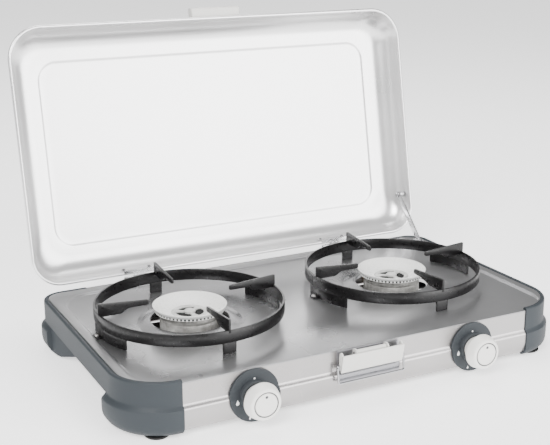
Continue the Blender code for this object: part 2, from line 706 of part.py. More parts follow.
def build_pan_support(x, side_name):
    half = RING_THICK / 2.0
    band = turned([(RING_RADIUS - half, RING_BOTTOM), (RING_RADIUS + half, RING_BOTTOM),
                   (RING_RADIUS + half, RING_TOP), (RING_RADIUS - half, RING_TOP)], 48, ring=True)
    support = add("pan_support_" + side_name, moved(band, x, BURNER_Y, 0.0), BLACK_ENAMEL, ROOT)
    foot = HOB_TOP + GAP
    top = RING_BOTTOM + 3.0
    narrow = degrees(LEG_WIDTH / RING_RADIUS) / 2.0
    for middle in (90.0, 270.0):
        combine(support, band_arc(x, middle - narrow, middle + narrow, foot, top, 3), "UNION")
    for start in (0.0, 180.0):
        leg = band_arc(x, start + WIDE_LEG_FROM, start + WIDE_LEG_TO, foot, top, 8)
        combine(support, leg, "UNION")
        reach = RING_RADIUS + half + FOOT_TAB_REACH
        tab = box(RING_RADIUS - half / 2.0, reach, -FOOT_TAB_WIDTH / 2, FOOT_TAB_WIDTH / 2, foot, foot + 1.6)
        tab.transform(Matrix.Translation(Vector((x, BURNER_Y, 0.0)) * MM)
                      @ Matrix.Rotation(radians(start), 4, "Z"))
        combine(support, tab, "UNION")
        sx, sy = tab_screw_place(x, start)
        combine(support, moved(rod(1.5, 12.0), sx, sy, HOB_TOP - 4.0))
    for step in range(4):
        combine(support, finger(x, 90.0 * step), "UNION")
    for angle, end in ((0.0, "right"), (180.0, "left")):
        sx, sy = tab_screw_place(x, angle)
        head = foot + 1.6 + GAP
        screw = turned([(1.2, HOB_TOP - 4.0), (1.2, head), (2.6, head), (2.6, head + 0.8),
                        (1.8, head + 1.5)], 16)
        add("support_screw_%s_%s" % (side_name, end), moved(screw, sx, sy, 0.0), STEEL, ROOT)


# ---------------------------------------------------------------- controls


def stepped_slab(low, high, thick):
    """Outline of a plate that follows the panel's step at a constant thickness."""
    y = -HOB_HALF_DEPTH - GAP
    step = y - PANEL_STEP_OUT
    path = [(y, high), (y, PANEL_STEP_TOP), (step, PANEL_STEP_LOW), (step, low)]
    return sheet_outline(path, -thick)


def build_control(side, side_name):
    x = side * KNOB_X
    low = KNOB_Z - BEZEL_RADIUS - 5.0
    high = KNOB_Z + BEZEL_RADIUS + 5.0
    bezel = add("bezel_" + side_name,
                side_prism(stepped_slab(low, high, BEZEL_THICK), x - BEZEL_RADIUS - 5, x + BEZEL_RADIUS + 5),
                GREY_PLASTIC, ROOT)
    combine(bezel, along_y(rod(BEZEL_RADIUS, 60.0, ROUND), x, -HOB_HALF_DEPTH - 40.0, KNOB_Z), "INTERSECT")
    combine(bezel, along_y(rod(SPINDLE_RADIUS + 2.0, 60.0), x, -HOB_HALF_DEPTH - 40.0, KNOB_Z))

    face = -HOB_HALF_DEPTH - GAP - PANEL_STEP_OUT - BEZEL_THICK
    empty = axis_empty("knob_axis_" + side_name, x, face, KNOB_Z, ROOT)
    bore = SPINDLE_RADIUS + GAP
    base = 1.0
    rear = base + 12.0
    seat = KNOB_LENGTH + base - INSERT_DEPTH
    profile = [(0.0, rear), (bore, rear), (bore, base), (KNOB_NECK_RADIUS, base),
               (KNOB_NECK_RADIUS + 1.0, base + 2.5), (KNOB_RADIUS - 0.8, base + 9.0),
               (KNOB_RADIUS, base + 11.0), (KNOB_RADIUS - 0.6, base + 13.0),
               (KNOB_FACE_RADIUS + 0.7, base + KNOB_LENGTH - 1.2),
               (KNOB_FACE_RADIUS - 0.6, base + KNOB_LENGTH),
               (INSERT_RADIUS + GAP, base + KNOB_LENGTH), (INSERT_RADIUS + GAP, seat), (0.0, seat)]
    add("knob_" + side_name, along_y(turned(profile, 28), x, face, KNOB_Z, reverse=True), CREAM, empty)
    insert = turned([(0.0, seat + GAP), (INSERT_RADIUS, seat + GAP),
                     (INSERT_RADIUS, base + KNOB_LENGTH - 0.2), (INSERT_RADIUS - 0.8, base + KNOB_LENGTH + 0.2),
                     (0.0, base + KNOB_LENGTH + 0.6)], 28)
    add("knob_insert_" + side_name, along_y(insert, x, face, KNOB_Z, reverse=True), CREAM, empty)
    spindle_end = face - rear + GAP
    spindle_start = VALVE_FRONT + 8.0 - GAP
    add("valve_spindle_" + side_name,
        along_y(rod(SPINDLE_RADIUS, spindle_start - spindle_end), x, spindle_end, KNOB_Z), BRASS, empty)


# ---------------------------------------------------------------- lid


def lid_ring(inset, height, front_radius=None, rear_radius=None):
    """Ring of the shut lid, `inset` from its rolled rim and `height` above the rim plane."""
    front = LID_FRONT_RADIUS - inset if front_radius is None else front_radius
    rear = LID_REAR_RADIUS - inset if rear_radius is None else rear_radius
    outline = rounded_outline(LID_HALF_WIDTH - inset, -LID_HALF_DEPTH + inset, LID_HALF_DEPTH - inset,
                              front, rear)
    return [(x, y, LID_CLOSED_Z + height) for x, y in outline]


def lid_skin(inset, depth, fillet):
    """Rings of one skin of the lid, from its wall to the middle, as seen from the rim plane."""
    rings = []
    steps = 5
    for step in range(steps + 1):
        angle = radians(90.0 * step / steps)
        grow = fillet * (1.0 - cos(angle))
        here = inset + grow
        share = grow / fillet
        front = LID_FRONT_RADIUS - inset - share * (LID_FRONT_RADIUS - LID_EMBOSS_RADIUS - 8.0)
        rear = max(LID_REAR_RADIUS - inset, 1.0) * (1.0 - share) + (LID_EMBOSS_RADIUS + 8.0) * share
        rings.append(lid_ring(here, depth - fillet * (1.0 - sin(angle)), front, rear))
    for edge, drop in ((-1.5, 0.0), (1.5, LID_EMBOSS_STEP)):
        rings.append(lid_ring(LID_EMBOSS_INSET + edge, depth + drop, LID_EMBOSS_RADIUS, LID_EMBOSS_RADIUS))
    return rings


def build_lid():
    axis = axis_empty("lid_axis", 0.0, HINGE_Y, HINGE_Z, ROOT, -LID_OPEN_ANGLE)
    wall = 2 * LID_BEAD - 0.4
    inner = lid_skin(wall, LID_DEPTH, LID_FILLET)
    outer = lid_skin(wall - SHEET, LID_DEPTH + SHEET, LID_FILLET + SHEET)
    rim = [lid_ring(wall, LID_BEAD), lid_ring(wall - 0.4, 0.7), lid_ring(LID_BEAD, 0.0),
           lid_ring(0.6, 0.7), lid_ring(0.0, LID_BEAD), lid_ring(0.6, 2 * LID_BEAD - 0.7),
           lid_ring(LID_BEAD - 0.2, 2 * LID_BEAD), lid_ring(wall - SHEET, 2 * LID_BEAD + 0.4)]
    rings = list(reversed(inner)) + rim + outer
    add("lid_pan", loft(rings), SILVER, axis)

    y = -LID_HALF_DEPTH
    low = LID_CLOSED_Z + CATCH_LOW
    high = LID_CLOSED_Z + CATCH_HIGH
    wall_face = y + wall - SHEET - GAP
    outline = [(wall_face, low), (y - CATCH_REACH + 1.5, low), (y - CATCH_REACH, low + 1.5),
               (y - CATCH_REACH, high - 1.5), (y - CATCH_REACH + 1.5, high), (wall_face, high)]
    add("lid_catch", side_prism(outline, -CATCH_HALF_WIDTH, CATCH_HALF_WIDTH), CREAM, axis)
    return axis


def build_hinge(side, side_name, lid_axis):
    x = side * HINGE_X
    half = HINGE_WIDTH / 2.0
    middle = HINGE_MIDDLE / 2.0
    bore = HINGE_PIN_RADIUS + PIN_PLAY

    # The lid leaf runs from its knuckle under the rim and up the inside of the lid's rear wall.
    rear = LID_HALF_DEPTH
    wall_face = rear - 2 * LID_BEAD + 0.4 - fillet_offset(LEAF_DEPTH) - 2 * GAP
    under = LID_CLOSED_Z - GAP
    knuckle_low = HINGE_Z - KNUCKLE_RADIUS
    path = [(HINGE_Y - 1.6, under), (wall_face, under), (wall_face, LID_CLOSED_Z + LEAF_DEPTH)]
    leaf = add("hinge_leaf_lid_" + side_name,
               side_prism(sheet_outline(path, LEAF_THICK), x - half, x + half), STEEL, lid_axis)
    notch_low = knuckle_low - 3.0
    for edge in (-1, 1):
        inner = x + edge * (middle + GAP / 2)
        outer = x + edge * (half + 2.0)
        combine(leaf, box(min(inner, outer), max(inner, outer), rear - 2.0, HINGE_Y + 10.0,
                          notch_low, LID_CLOSED_Z + 0.6))
    combine(leaf, along_x(rod(KNUCKLE_RADIUS, HINGE_MIDDLE - GAP), x - middle + GAP / 2, HINGE_Y, HINGE_Z),
            "UNION")
    combine(leaf, along_x(rod(bore, HINGE_WIDTH + 10.0), x - half - 5.0, HINGE_Y, HINGE_Z))
    for edge in (-1, 1):
        hole = along_y(rod(1.5, 12.0), x + edge * RIVET_SPREAD / 2, wall_face - 6.0,
                       LID_CLOSED_Z + RIVET_DEPTH)
        combine(leaf, hole)

    # The base leaf is screwed to the back panel and carries the two outer knuckles.
    back = HOB_HALF_DEPTH + GAP
    plate = box(x - half, x + half, back, back + LEAF_THICK + 0.3, PANEL_STEP_TOP + 3.0, RIM_TOP - 4.0)
    base = add("hinge_leaf_base_" + side_name, plate, STEEL, ROOT)
    for edge in (-1, 1):
        inner = x + edge * (middle + GAP / 2)
        outer = x + edge * half
        low = RIM_TOP - 6.6
        arm = [(back + 0.4, low), (HINGE_Y + 1.2, low), (HINGE_Y + 1.2, HINGE_Z - 1.7),
               (HINGE_Y - 1.2, HINGE_Z - 1.7), (HINGE_Y - 1.2, low + 2.0), (back + 0.4, low + 2.0)]
        combine(base, side_prism(arm, min(inner, outer), max(inner, outer)), "UNION")
        knuckle = along_x(rod(KNUCKLE_RADIUS, half - middle - GAP / 2), min(inner, outer), HINGE_Y, HINGE_Z)
        combine(base, knuckle, "UNION")
    combine(base, along_x(rod(bore, HINGE_WIDTH + 10.0), x - half - 5.0, HINGE_Y, HINGE_Z))

    add("hinge_pin_" + side_name,
        along_x(rod(HINGE_PIN_RADIUS, HINGE_WIDTH + 2.0, 12), x - half - 1.0, HINGE_Y, HINGE_Z), STEEL, ROOT)
    for edge, end in ((-1, "outer" if side < 0 else "inner"), (1, "inner" if side < 0 else "outer")):
        rivet = turned([(1.2, 0.0), (1.2, LEAF_THICK + GAP * 2), (RIVET_RADIUS, LEAF_THICK + GAP * 2),
                        (RIVET_RADIUS * 0.8, LEAF_THICK + 1.4), (1.0, LEAF_THICK + 1.9)], 16)
        rivet = along_y(rivet, x + edge * RIVET_SPREAD / 2, wall_face, LID_CLOSED_Z + RIVET_DEPTH,
                        reverse=True)
        add("hinge_rivet_%s_%s" % (side_name, end), rivet, STEEL, lid_axis)


def build_stay(lid_axis):
    y = LID_HALF_DEPTH - STAY_PIVOT_Y
    z = LID_CLOSED_Z + STAY_PIVOT_DEPTH
    wall = LID_HALF_WIDTH - 2 * LID_BEAD + 0.4
    inner_wall = wall - fillet_offset(STAY_PIVOT_DEPTH + 4.0) - GAP
    empty = axis_empty("stay_axis", STAY_X, y, z, lid_axis, STAY_ANGLE)
    half_thick = STAY_THICK / 2.0
    half_width = STAY_WIDTH / 2.0
    length = STAY_REACH + STAY_TAIL
    # Drawn folded, pointing to the front of the shut lid; the empty swings it down.
    outline = []
    for step in range(9):
        angle = radians(-90.0 + 180.0 * step / 8)
        outline.append((y + half_width * cos(angle), z + half_width * sin(angle)))
    tip = y - length
    outline += [(tip + 4.0, z + half_width), (tip, z + half_width - 3.0), (tip, z - half_width + 3.0),
                (tip + 4.0, z - half_width)]
    stay = add("lid_stay", side_prism(outline, STAY_X - half_thick, STAY_X + half_thick), STEEL, empty)
    combine(stay, along_x(rod(2.0 + PIN_PLAY, 10.0), STAY_X - 5.0, y, z))

    bush_start = STAY_X + half_thick + GAP
    bush = along_x(rod(4.0, inner_wall - GAP - bush_start), bush_start, y, z)
    add("stay_bush", bush, STEEL, lid_axis)
    screw = turned([(0.0, -1.8), (2.6, -1.8), (3.8, -0.8), (3.8, 0.0), (2.0, 0.0),
                    (2.0, STAY_THICK + GAP)], 16)
    add("stay_screw", along_x(screw, STAY_X - half_thick - GAP, y, z), STEEL, lid_axis)


def fillet_offset(height):
    """How far the lid's inner wall has curved in at a height above the rim plane."""
    over = height - (LID_DEPTH - LID_FILLET)
    if over <= 0.0:
        return 0.0
    return LID_FILLET - sqrt(LID_FILLET ** 2 - over ** 2)


# ---------------------------------------------------------------- latch


def build_latch():
    outline = stepped_slab(BRACKET_LOW, BRACKET_TOP, SHEET)
    bracket = add("latch_bracket", side_prism(outline, -BRACKET_HALF_WIDTH, BRACKET_HALF_WIDTH), STEEL, ROOT)
    face = -HOB_HALF_DEPTH - GAP - SHEET
    bore = LATCH_PIN_RADIUS + PIN_PLAY
    for side in (-1, 1):
        x = side * EAR_X
        ear = [(face + 0.6, LATCH_AXIS_Z - 7.0), (face - 2.0, LATCH_AXIS_Z - 7.0),
               (LATCH_AXIS_Y - 3.4, LATCH_AXIS_Z - 1.0), (LATCH_AXIS_Y - 2.4, LATCH_AXIS_Z + 3.6),
               (LATCH_AXIS_Y + 0.5, LATCH_AXIS_Z + 3.0), (face + 0.6, BRACKET_TOP - 2.0)]
        combine(bracket, side_prism(ear, x - EAR_THICK / 2, x + EAR_THICK / 2), "UNION")
    combine(bracket, along_x(rod(bore, 2 * EAR_X + 10.0), -EAR_X - 5.0, LATCH_AXIS_Y, LATCH_AXIS_Z))
    for x in latch_rivet_places():
        combine(bracket, along_y(rod(1.8, 10.0), x, face - 4.0, latch_rivet_height()))
        rivet = turned([(1.5, -2.0), (1.5, SHEET + GAP), (3.0, SHEET + GAP), (2.4, SHEET + 1.2),
                        (1.0, SHEET + 1.7)], 16)
        side_name = "left" if x < 0 else "right"
        add("latch_rivet_" + side_name, along_y(rivet, x, face + SHEET, latch_rivet_height(), reverse=True),
            STEEL, ROOT)
    add("latch_pin", along_x(rod(LATCH_PIN_RADIUS, 2 * EAR_X + 5.0, 12), -EAR_X - 2.5, LATCH_AXIS_Y,
                             LATCH_AXIS_Z), STEEL, ROOT)

    axis = axis_empty("latch_axis", 0.0, LATCH_AXIS_Y, LATCH_AXIS_Z, ROOT)
    path = [LEVER_TOP, LEVER_LOW]
    face_outline = sheet_outline(path, LEVER_WALL)
    lever = add("latch_lever", side_prism(face_outline, -LEVER_HALF_WIDTH, LEVER_HALF_WIDTH), CREAM, axis)
    back_top = LATCH_AXIS_Y + 2.6
    cheek = [(LEVER_TOP[0] + 0.4, LEVER_TOP[1] - 0.6), (LEVER_LOW[0] + 0.4, LEVER_LOW[1] + 0.4),
             (BAIL_PIVOT[0] + 1.5, BAIL_PIVOT[1] - 3.4), (BAIL_PIVOT[0] + 2.5, BAIL_PIVOT[1]),
             (back_top, LATCH_AXIS_Z - 2.0), (back_top - 1.5, LATCH_AXIS_Z + 1.5)]
    barrel_half = EAR_X - EAR_THICK / 2 - GAP
    for side in (-1, 1):
        outer = side * LEVER_HALF_WIDTH
        inner = side * (LEVER_HALF_WIDTH - LEVER_WALL)
        combine(lever, side_prism(cheek, min(outer, inner), max(outer, inner)), "UNION")
        web_x = side * (barrel_half - 1.5)
        web = [(LATCH_AXIS_Y, LATCH_AXIS_Z - 2.2), (LATCH_AXIS_Y, LATCH_AXIS_Z + 0.5),
               (LEVER_TOP[0] + 3.0, LATCH_AXIS_Z - 3.0), (LEVER_TOP[0] + 5.5, LATCH_AXIS_Z - 8.0)]
        combine(lever, side_prism(web, web_x - 1.2, web_x + 1.2), "UNION")
    combine(lever, along_x(rod(LEVER_BARREL, 2 * barrel_half), -barrel_half, LATCH_AXIS_Y, LATCH_AXIS_Z),
            "UNION")
    combine(lever, along_x(rod(bore, 2 * EAR_X + 10.0), -EAR_X - 5.0, LATCH_AXIS_Y, LATCH_AXIS_Z))
    combine(lever, along_x(rod(BAIL_WIRE + PIN_PLAY, 2 * LEVER_HALF_WIDTH + 10.0), -LEVER_HALF_WIDTH - 5.0,
                           *BAIL_PIVOT))

    bail_axis = axis_empty("bail_axis", 0.0, BAIL_PIVOT[0], BAIL_PIVOT[1], axis)
    bend = 1.8
    arm_x = LEVER_HALF_WIDTH + bend + GAP
    stub = LEVER_HALF_WIDTH - LEVER_WALL - 0.5
    half_path = [(stub, 0.0)]
    for step in range(4):
        angle = radians(90.0 - 90.0 * step / 3)
        half_path.append((arm_x - bend + bend * cos(angle), -bend + bend * sin(angle)))
    for step in range(4):
        angle = radians(-90.0 * step / 3)
        half_path.append((arm_x - bend + bend * cos(angle), -BAIL_DROP + bend + bend * sin(angle)))
    points = half_path + [(-x, z) for x, z in reversed(half_path)]
    lean = 2.6 / BAIL_DROP
    place = Vector((0.0, BAIL_PIVOT[0], BAIL_PIVOT[1]))
    path = [Vector((x, lean * z, z)) for x, z in points]
    add("latch_bail", moved(bent_rod(path, BAIL_WIRE, 10), *place), STEEL, bail_axis)


# ---------------------------------------------------------------- assembly

build_hob()
build_panels()
build_side_frame(-1, "side_frame_left")
build_side_frame(1, "side_frame_right")
build_feet()
for burner_x, burner_side, burner_name in zip(burner_positions(), (-1, 1), ("left", "right")):
    build_burner(burner_x, burner_side, burner_name)
    build_pan_support(burner_x, burner_name)
    build_control(burner_side, burner_name)
build_gas_line()
lid = build_lid()
for hinge_side, hinge_name in ((-1, "left"), (1, "right")):
    build_hinge(hinge_side, hinge_name, lid)
build_stay(lid)
build_latch()


def centre_in_depth():
    """Slide the whole stove along Y until the origin is under the middle of its overall depth."""
    bpy.context.view_layer.update()
    depsgraph = bpy.context.evaluated_depsgraph_get()
    reach = []
    for obj in bpy.data.objects:
        if obj.type == "MESH" and not obj.hide_render:
            shape = obj.evaluated_get(depsgraph)
            depths = [(shape.matrix_world @ vertex.co).y for vertex in shape.data.vertices]
            reach += [min(depths), max(depths)]
    ROOT.location.y = -(min(reach) + max(reach)) / 2.0


centre_in_depth()
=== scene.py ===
"""Looks of a portable gas stove with a hinged lid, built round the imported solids.

Lengths below are in millimetres and MM turns them into metres.  Places are given from the middle
of the hob sheet, whose y in the frame is HOB_MIDDLE.  Lid pieces are shaped with the lid shut and
then swung open about the hinge line.
"""

from math import cos, pi, radians, sin

import bmesh
import bpy
from mathutils import Matrix, Vector


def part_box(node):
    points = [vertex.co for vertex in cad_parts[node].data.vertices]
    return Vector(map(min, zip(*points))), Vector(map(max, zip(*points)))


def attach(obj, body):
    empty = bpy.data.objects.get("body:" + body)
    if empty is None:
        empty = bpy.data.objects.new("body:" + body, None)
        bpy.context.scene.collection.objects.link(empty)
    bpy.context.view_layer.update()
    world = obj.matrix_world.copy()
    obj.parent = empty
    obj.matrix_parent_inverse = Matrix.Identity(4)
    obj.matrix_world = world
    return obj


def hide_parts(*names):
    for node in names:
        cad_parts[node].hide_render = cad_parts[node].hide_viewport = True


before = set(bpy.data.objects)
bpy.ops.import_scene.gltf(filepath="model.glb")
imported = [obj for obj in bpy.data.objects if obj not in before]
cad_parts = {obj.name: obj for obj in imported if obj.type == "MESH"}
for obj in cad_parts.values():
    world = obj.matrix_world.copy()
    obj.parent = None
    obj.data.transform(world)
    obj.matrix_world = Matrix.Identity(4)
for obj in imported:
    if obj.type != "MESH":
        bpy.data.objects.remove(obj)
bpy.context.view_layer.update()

MM = 0.001
HOB_MIDDLE = (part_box("hob_plate")[0].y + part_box("hob_plate")[1].y) / 2.0


def spot(x, y, z):
    """A place measured from the middle of the hob, in the frame's metres."""
    return Vector((x * MM, HOB_MIDDLE + y * MM, z * MM))


HINGE_LINE = Vector((0.0, spot(0.0, 156.1, 0.0).y, 60.9 * MM))
LID_SWING = -101.2
LID_RIM_PLANE = 61.5            # height of the shut lid's rim
LID_HALF_WIDTH = 268.1
LID_HALF_DEPTH = 153.3
LID_FREE_RADIUS = 42.0          # corners at the free edge and at the hinge edge
LID_HINGE_RADIUS = 35.0
LID_DEPTH = 36.0
LID_FILLET = 27.0
LID_WALL_INSET = 4.0            # the inside wall, in from the rolled rim
LID_SHEET = 1.2
LID_TOP_SHEET = 1.05
LID_FREE_RADIUS_LOSS = 12.0     # how much the free corners tighten from rim to top
LID_TOP_HINGE_RADIUS = 30.0
PRESSED_LINE_INSET = 42.0
PRESSED_LINE_RADIUS = 23.0
ROLL_MIDDLE = 2.2               # the rolled rim: in from the edge and up from the rim's plane
ROLL_RADIUS = 2.15
STAY_PIVOT_AT = (102.9, 75.5)   # y and z with the lid shut
STAY_PIVOT = spot(255.0, *STAY_PIVOT_AT)
STAY_SWING = 145.8
STAY_SLOT = ((253.4, 111.8, 50.0), (256.6, 136.8, 66.0))
APRON_HALF_WIDTH = 209.2
APRON_SHEET = 1.2
FRAME_SPLIT = 209.35            # where the side frames meet the aprons
RAIL_FRONT, RAIL_REAR = -88.0, 104.0
RAIL_SLANT = 38.0
RAIL_UNDERSIDE = 35.0
BAND_INNER, BAND_OUTER = 102.1, 104.6
FINGER_THICKNESS = 2.6
FOOT_REACH = 106.9              # from a burner's axis to the screws of its pan support
BEZEL_RADIUS = 27.5
SLOT_STEPS = 112                # two steps round the burner to each flame slot
SLOT_SHRINK = 0.925             # how far in the slots are pushed, as a share of their radius
SLOT_WALL_RADIUS = 37.0         # faces nearer the axis than this are not slots
BURNER_PLACES = {"left": -138.2, "right": 125.6}
BURNER_ROW = -1.2
KNOB_PLACES = {"left": -133.4, "right": 133.4}
KNOB_HEIGHT = 29.9


# ------------------------------------------------------------------ camera, floor and light


def set_up_studio():
    lens = bpy.data.cameras.new("studio_camera")
    lens.lens = 70.46
    lens.sensor_width = 36.0
    camera = bpy.data.objects.new("studio_camera", lens)
    camera.location = spot(-564.06, -1030.45, 493.28)
    camera.rotation_euler = (radians(73.74), radians(0.09), radians(-27.34))
    bpy.context.scene.collection.objects.link(camera)
    bpy.context.scene.camera = camera

    bpy.ops.object.select_all(action="DESELECT")
    bpy.ops.mesh.primitive_plane_add(size=16.0)
    floor = bpy.context.object
    floor.name = "studio_floor"
    paper = bpy.data.materials.new("studio_paper")
    paper.use_nodes = True
    shader = paper.node_tree.nodes["Principled BSDF"]
    shader.inputs["Base Color"].default_value = (0.96, 0.96, 0.96, 1.0)
    shader.inputs["Roughness"].default_value = 0.9
    shader.inputs["Specular IOR Level"].default_value = 0.1
    shader.inputs["Emission Color"].default_value = (1.0, 1.0, 1.0, 1.0)
    shader.inputs["Emission Strength"].default_value = 1.15
    floor.data.materials.append(paper)

    world = bpy.data.worlds.new("studio_room")
    world.use_nodes = True
    sky = world.node_tree.nodes["Background"]
    sky.inputs["Color"].default_value = (1.0, 1.0, 1.0, 1.0)
    sky.inputs["Strength"].default_value = 0.42
    bpy.context.scene.world = world

    for name, place, aim, size, power in (
            ("key_softbox", (-1.7, -1.5, 1.9), (0.0, 0.0, 0.12), 1.3, 105.0),
            ("fill_softbox", (1.15, -2.2, 0.95), (0.0, 0.1, 0.2), 2.1, 105.0),
            ("top_softbox", (0.3, 0.9, 2.3), (0.0, -0.1, 0.0), 1.5, 45.0)):
        lamp = bpy.data.lights.new(name, "AREA")
        lamp.shape = "SQUARE"
        lamp.size = size
        lamp.energy = power
        box = bpy.data.objects.new(name, lamp)
        box.location = place
        box.rotation_euler = (Vector(aim) - Vector(place)).to_track_quat("-Z", "Y").to_euler()
        bpy.context.scene.collection.objects.link(box)


set_up_studio()

# ------------------------------------------------------------------ finishes


def finish_with(name, colour, roughness, metallic=0.0):
    """A new finish: the material and its shader."""
    material = bpy.data.materials.new(name)
    material.use_nodes = True
    shader = material.node_tree.nodes["Principled BSDF"]
    shader.inputs["Base Color"].default_value = (*colour, 1.0)
    shader.inputs["Roughness"].default_value = roughness
    shader.inputs["Metallic"].default_value = metallic
    return material, shader


def place_on_piece(material, stretch=(1.0, 1.0, 1.0)):
    nodes, links = material.node_tree.nodes, material.node_tree.links
    place = nodes.new("ShaderNodeTexCoord")
    lay = nodes.new("ShaderNodeMapping")
    lay.inputs["Scale"].default_value = stretch
    links.new(place.outputs["Object"], lay.inputs["Vector"])
    return lay.outputs["Vector"]


def noise(material, vector, scale, detail=3.0, roughness=0.5):
    node = material.node_tree.nodes.new("ShaderNodeTexNoise")
    node.inputs["Scale"].default_value = scale
    node.inputs["Detail"].default_value = detail
    node.inputs["Roughness"].default_value = roughness
    material.node_tree.links.new(vector, node.inputs["Vector"])
    return node.outputs["Fac"]


def spread(material, value, low, high, out_low, out_high):
    node = material.node_tree.nodes.new("ShaderNodeMapRange")
    node.inputs["From Min"].default_value = low
    node.inputs["From Max"].default_value = high
    node.inputs["To Min"].default_value = out_low
    node.inputs["To Max"].default_value = out_high
    material.node_tree.links.new(value, node.inputs["Value"])
    return node.outputs["Result"]


def tint(material, value, dark, light):
    node = material.node_tree.nodes.new("ShaderNodeMix")
    node.data_type = "RGBA"
    node.inputs[6].default_value = (*dark, 1.0)
    node.inputs[7].default_value = (*light, 1.0)
    material.node_tree.links.new(value, node.inputs[0])
    return node.outputs[2]


def relief(material, value, strength, distance):
    node = material.node_tree.nodes.new("ShaderNodeBump")
    node.inputs["Strength"].default_value = strength
    node.inputs["Distance"].default_value = distance
    material.node_tree.links.new(value, node.inputs["Height"])
    return node.outputs["Normal"]


def satin_silver(name, dark, light, roughness, metallic):
    """Satin silver paint: a fine flake, faint clouds and a little orange peel."""
    material, shader = finish_with(name, light, roughness, metallic)
    vector = place_on_piece(material)
    links = material.node_tree.links
    clouds = noise(material, vector, 7.0, 4.0)
    flake = noise(material, vector, 2600.0, 1.0)
    links.new(tint(material, spread(material, clouds, 0.3, 0.7, 0.0, 1.0), dark, light),
              shader.inputs["Base Color"])
    links.new(spread(material, clouds, 0.25, 0.75, roughness - 0.04, roughness + 0.05),
              shader.inputs["Roughness"])
    links.new(relief(material, flake, 0.12, 0.00004), shader.inputs["Normal"])
    return material


def moulded_grey(name, colour, roughness):
    """Spark-eroded matte plastic."""
    material, shader = finish_with(name, colour, roughness)
    shader.inputs["Specular IOR Level"].default_value = 0.26
    vector = place_on_piece(material)
    links = material.node_tree.links
    grain = noise(material, vector, 1500.0, 2.0)
    clouds = noise(material, vector, 14.0, 3.0)
    lighter = tuple(c * 1.18 for c in colour)
    links.new(tint(material, spread(material, clouds, 0.3, 0.7, 0.0, 1.0), colour, lighter),
              shader.inputs["Base Color"])
    links.new(spread(material, grain, 0.3, 0.7, roughness - 0.06, roughness + 0.08),
              shader.inputs["Roughness"])
    links.new(relief(material, grain, 0.22, 0.00008), shader.inputs["Normal"])
    return material


def cast_metal(name, dark, light, metallic):
    """Sand-cast aluminium of the burner bodies."""
    material, shader = finish_with(name, light, 0.5, metallic)
    vector = place_on_piece(material)
    links = material.node_tree.links
    grains = noise(material, vector, 900.0, 3.0, 0.6)
    patches = noise(material, vector, 120.0, 4.0)
    links.new(tint(material, spread(material, patches, 0.35, 0.65, 0.0, 1.0), dark, light),
              shader.inputs["Base Color"])
    links.new(spread(material, grains, 0.3, 0.7, 0.42, 0.68), shader.inputs["Roughness"])
    links.new(relief(material, grains, 0.55, 0.0003), shader.inputs["Normal"])
    return material


def fired_enamel(name, dark, light, roughness, peel):
    """Vitreous enamel: glossy over a slightly uneven fired surface."""
    material, shader = finish_with(name, light, roughness)
    shader.inputs["Specular IOR Level"].default_value = 0.36
    vector = place_on_piece(material)
    links = material.node_tree.links
    waves = noise(material, vector, 260.0, 2.0)
    specks = noise(material, vector, 1800.0, 2.0)
    links.new(tint(material, spread(material, specks, 0.36, 0.62, 0.0, 1.0), dark, light),
              shader.inputs["Base Color"])
    links.new(spread(material, waves, 0.3, 0.7, roughness - 0.05, roughness + 0.1),
              shader.inputs["Roughness"])
    links.new(relief(material, waves, peel, 0.0002), shader.inputs["Normal"])
    return material


def smooth_cream(name, colour, roughness):
    material, shader = finish_with(name, colour, roughness)
    vector = place_on_piece(material)
    links = material.node_tree.links
    fine = noise(material, vector, 700.0, 2.0)
    links.new(tint(material, noise(material, vector, 30.0), tuple(c * 0.96 for c in colour), colour),
              shader.inputs["Base Color"])
    links.new(spread(material, fine, 0.3, 0.7, roughness - 0.04, roughness + 0.05),
              shader.inputs["Roughness"])
    links.new(relief(material, fine, 0.06, 0.00005), shader.inputs["Normal"])
    return material


def plated_steel(name, colour, roughness):
    """Zinc-plated steel with faint drawn lines along its length."""
    material, shader = finish_with(name, colour, roughness, 1.0)
    vector = place_on_piece(material, (40.0, 900.0, 900.0))
    links = material.node_tree.links
    lines = noise(material, vector, 1.0, 3.0)
    links.new(tint(material, lines, tuple(c * 0.82 for c in colour), colour),
              shader.inputs["Base Color"])
    links.new(spread(material, lines, 0.3, 0.7, roughness - 0.06, roughness + 0.08),
              shader.inputs["Roughness"])
    links.new(relief(material, lines, 0.08, 0.00005), shader.inputs["Normal"])
    return material


# One satin silver paint in three copies: the hob and the aprons get darker base colours and the lid a much
# lighter one. The difference is painted light and painted shade, standing for how light falls on each.
HOB_SILVER_SHADED_COPY = satin_silver("hob_silver", (0.29, 0.29, 0.295), (0.345, 0.345, 0.35), 0.28, 0.88)
PANEL_SILVER_SHADED_COPY = satin_silver("panel_silver", (0.36, 0.346, 0.343), (0.43, 0.414, 0.410), 0.28, 0.90)
LID_SILVER_LIT_COPY = satin_silver("lid_silver", (0.80, 0.795, 0.795), (0.88, 0.875, 0.875), 0.30, 0.86)
FRAME_GREY = moulded_grey("frame_grey", (0.026, 0.031, 0.0355), 0.54)
BEZEL_GREY = moulded_grey("bezel_grey", (0.024, 0.028, 0.032), 0.50)
NECK_GREY = moulded_grey("neck_grey", (0.035, 0.039, 0.043), 0.5)
PAD_BLACK = moulded_grey("pad_rubber", (0.012, 0.012, 0.012), 0.7)
CAST = cast_metal("cast_aluminium_skin", (0.26, 0.255, 0.24), (0.46, 0.45, 0.43), 0.75)
STAR_CAST = cast_metal("dusted_cast_skin", (0.40, 0.40, 0.385), (0.60, 0.60, 0.58), 0.15)
CAP_ENAMEL = fired_enamel("cap_enamel", (0.70, 0.70, 0.675), (0.82, 0.82, 0.80), 0.28, 0.25)
SUPPORT_ENAMEL = fired_enamel("support_enamel", (0.003, 0.0028, 0.003), (0.007, 0.0066, 0.007),
                              0.30, 0.14)
KNOB_CREAM = smooth_cream("knob_cream", (0.80, 0.79, 0.755), 0.32)
LATCH_CREAM = smooth_cream("latch_cream", (0.66, 0.65, 0.62), 0.34)
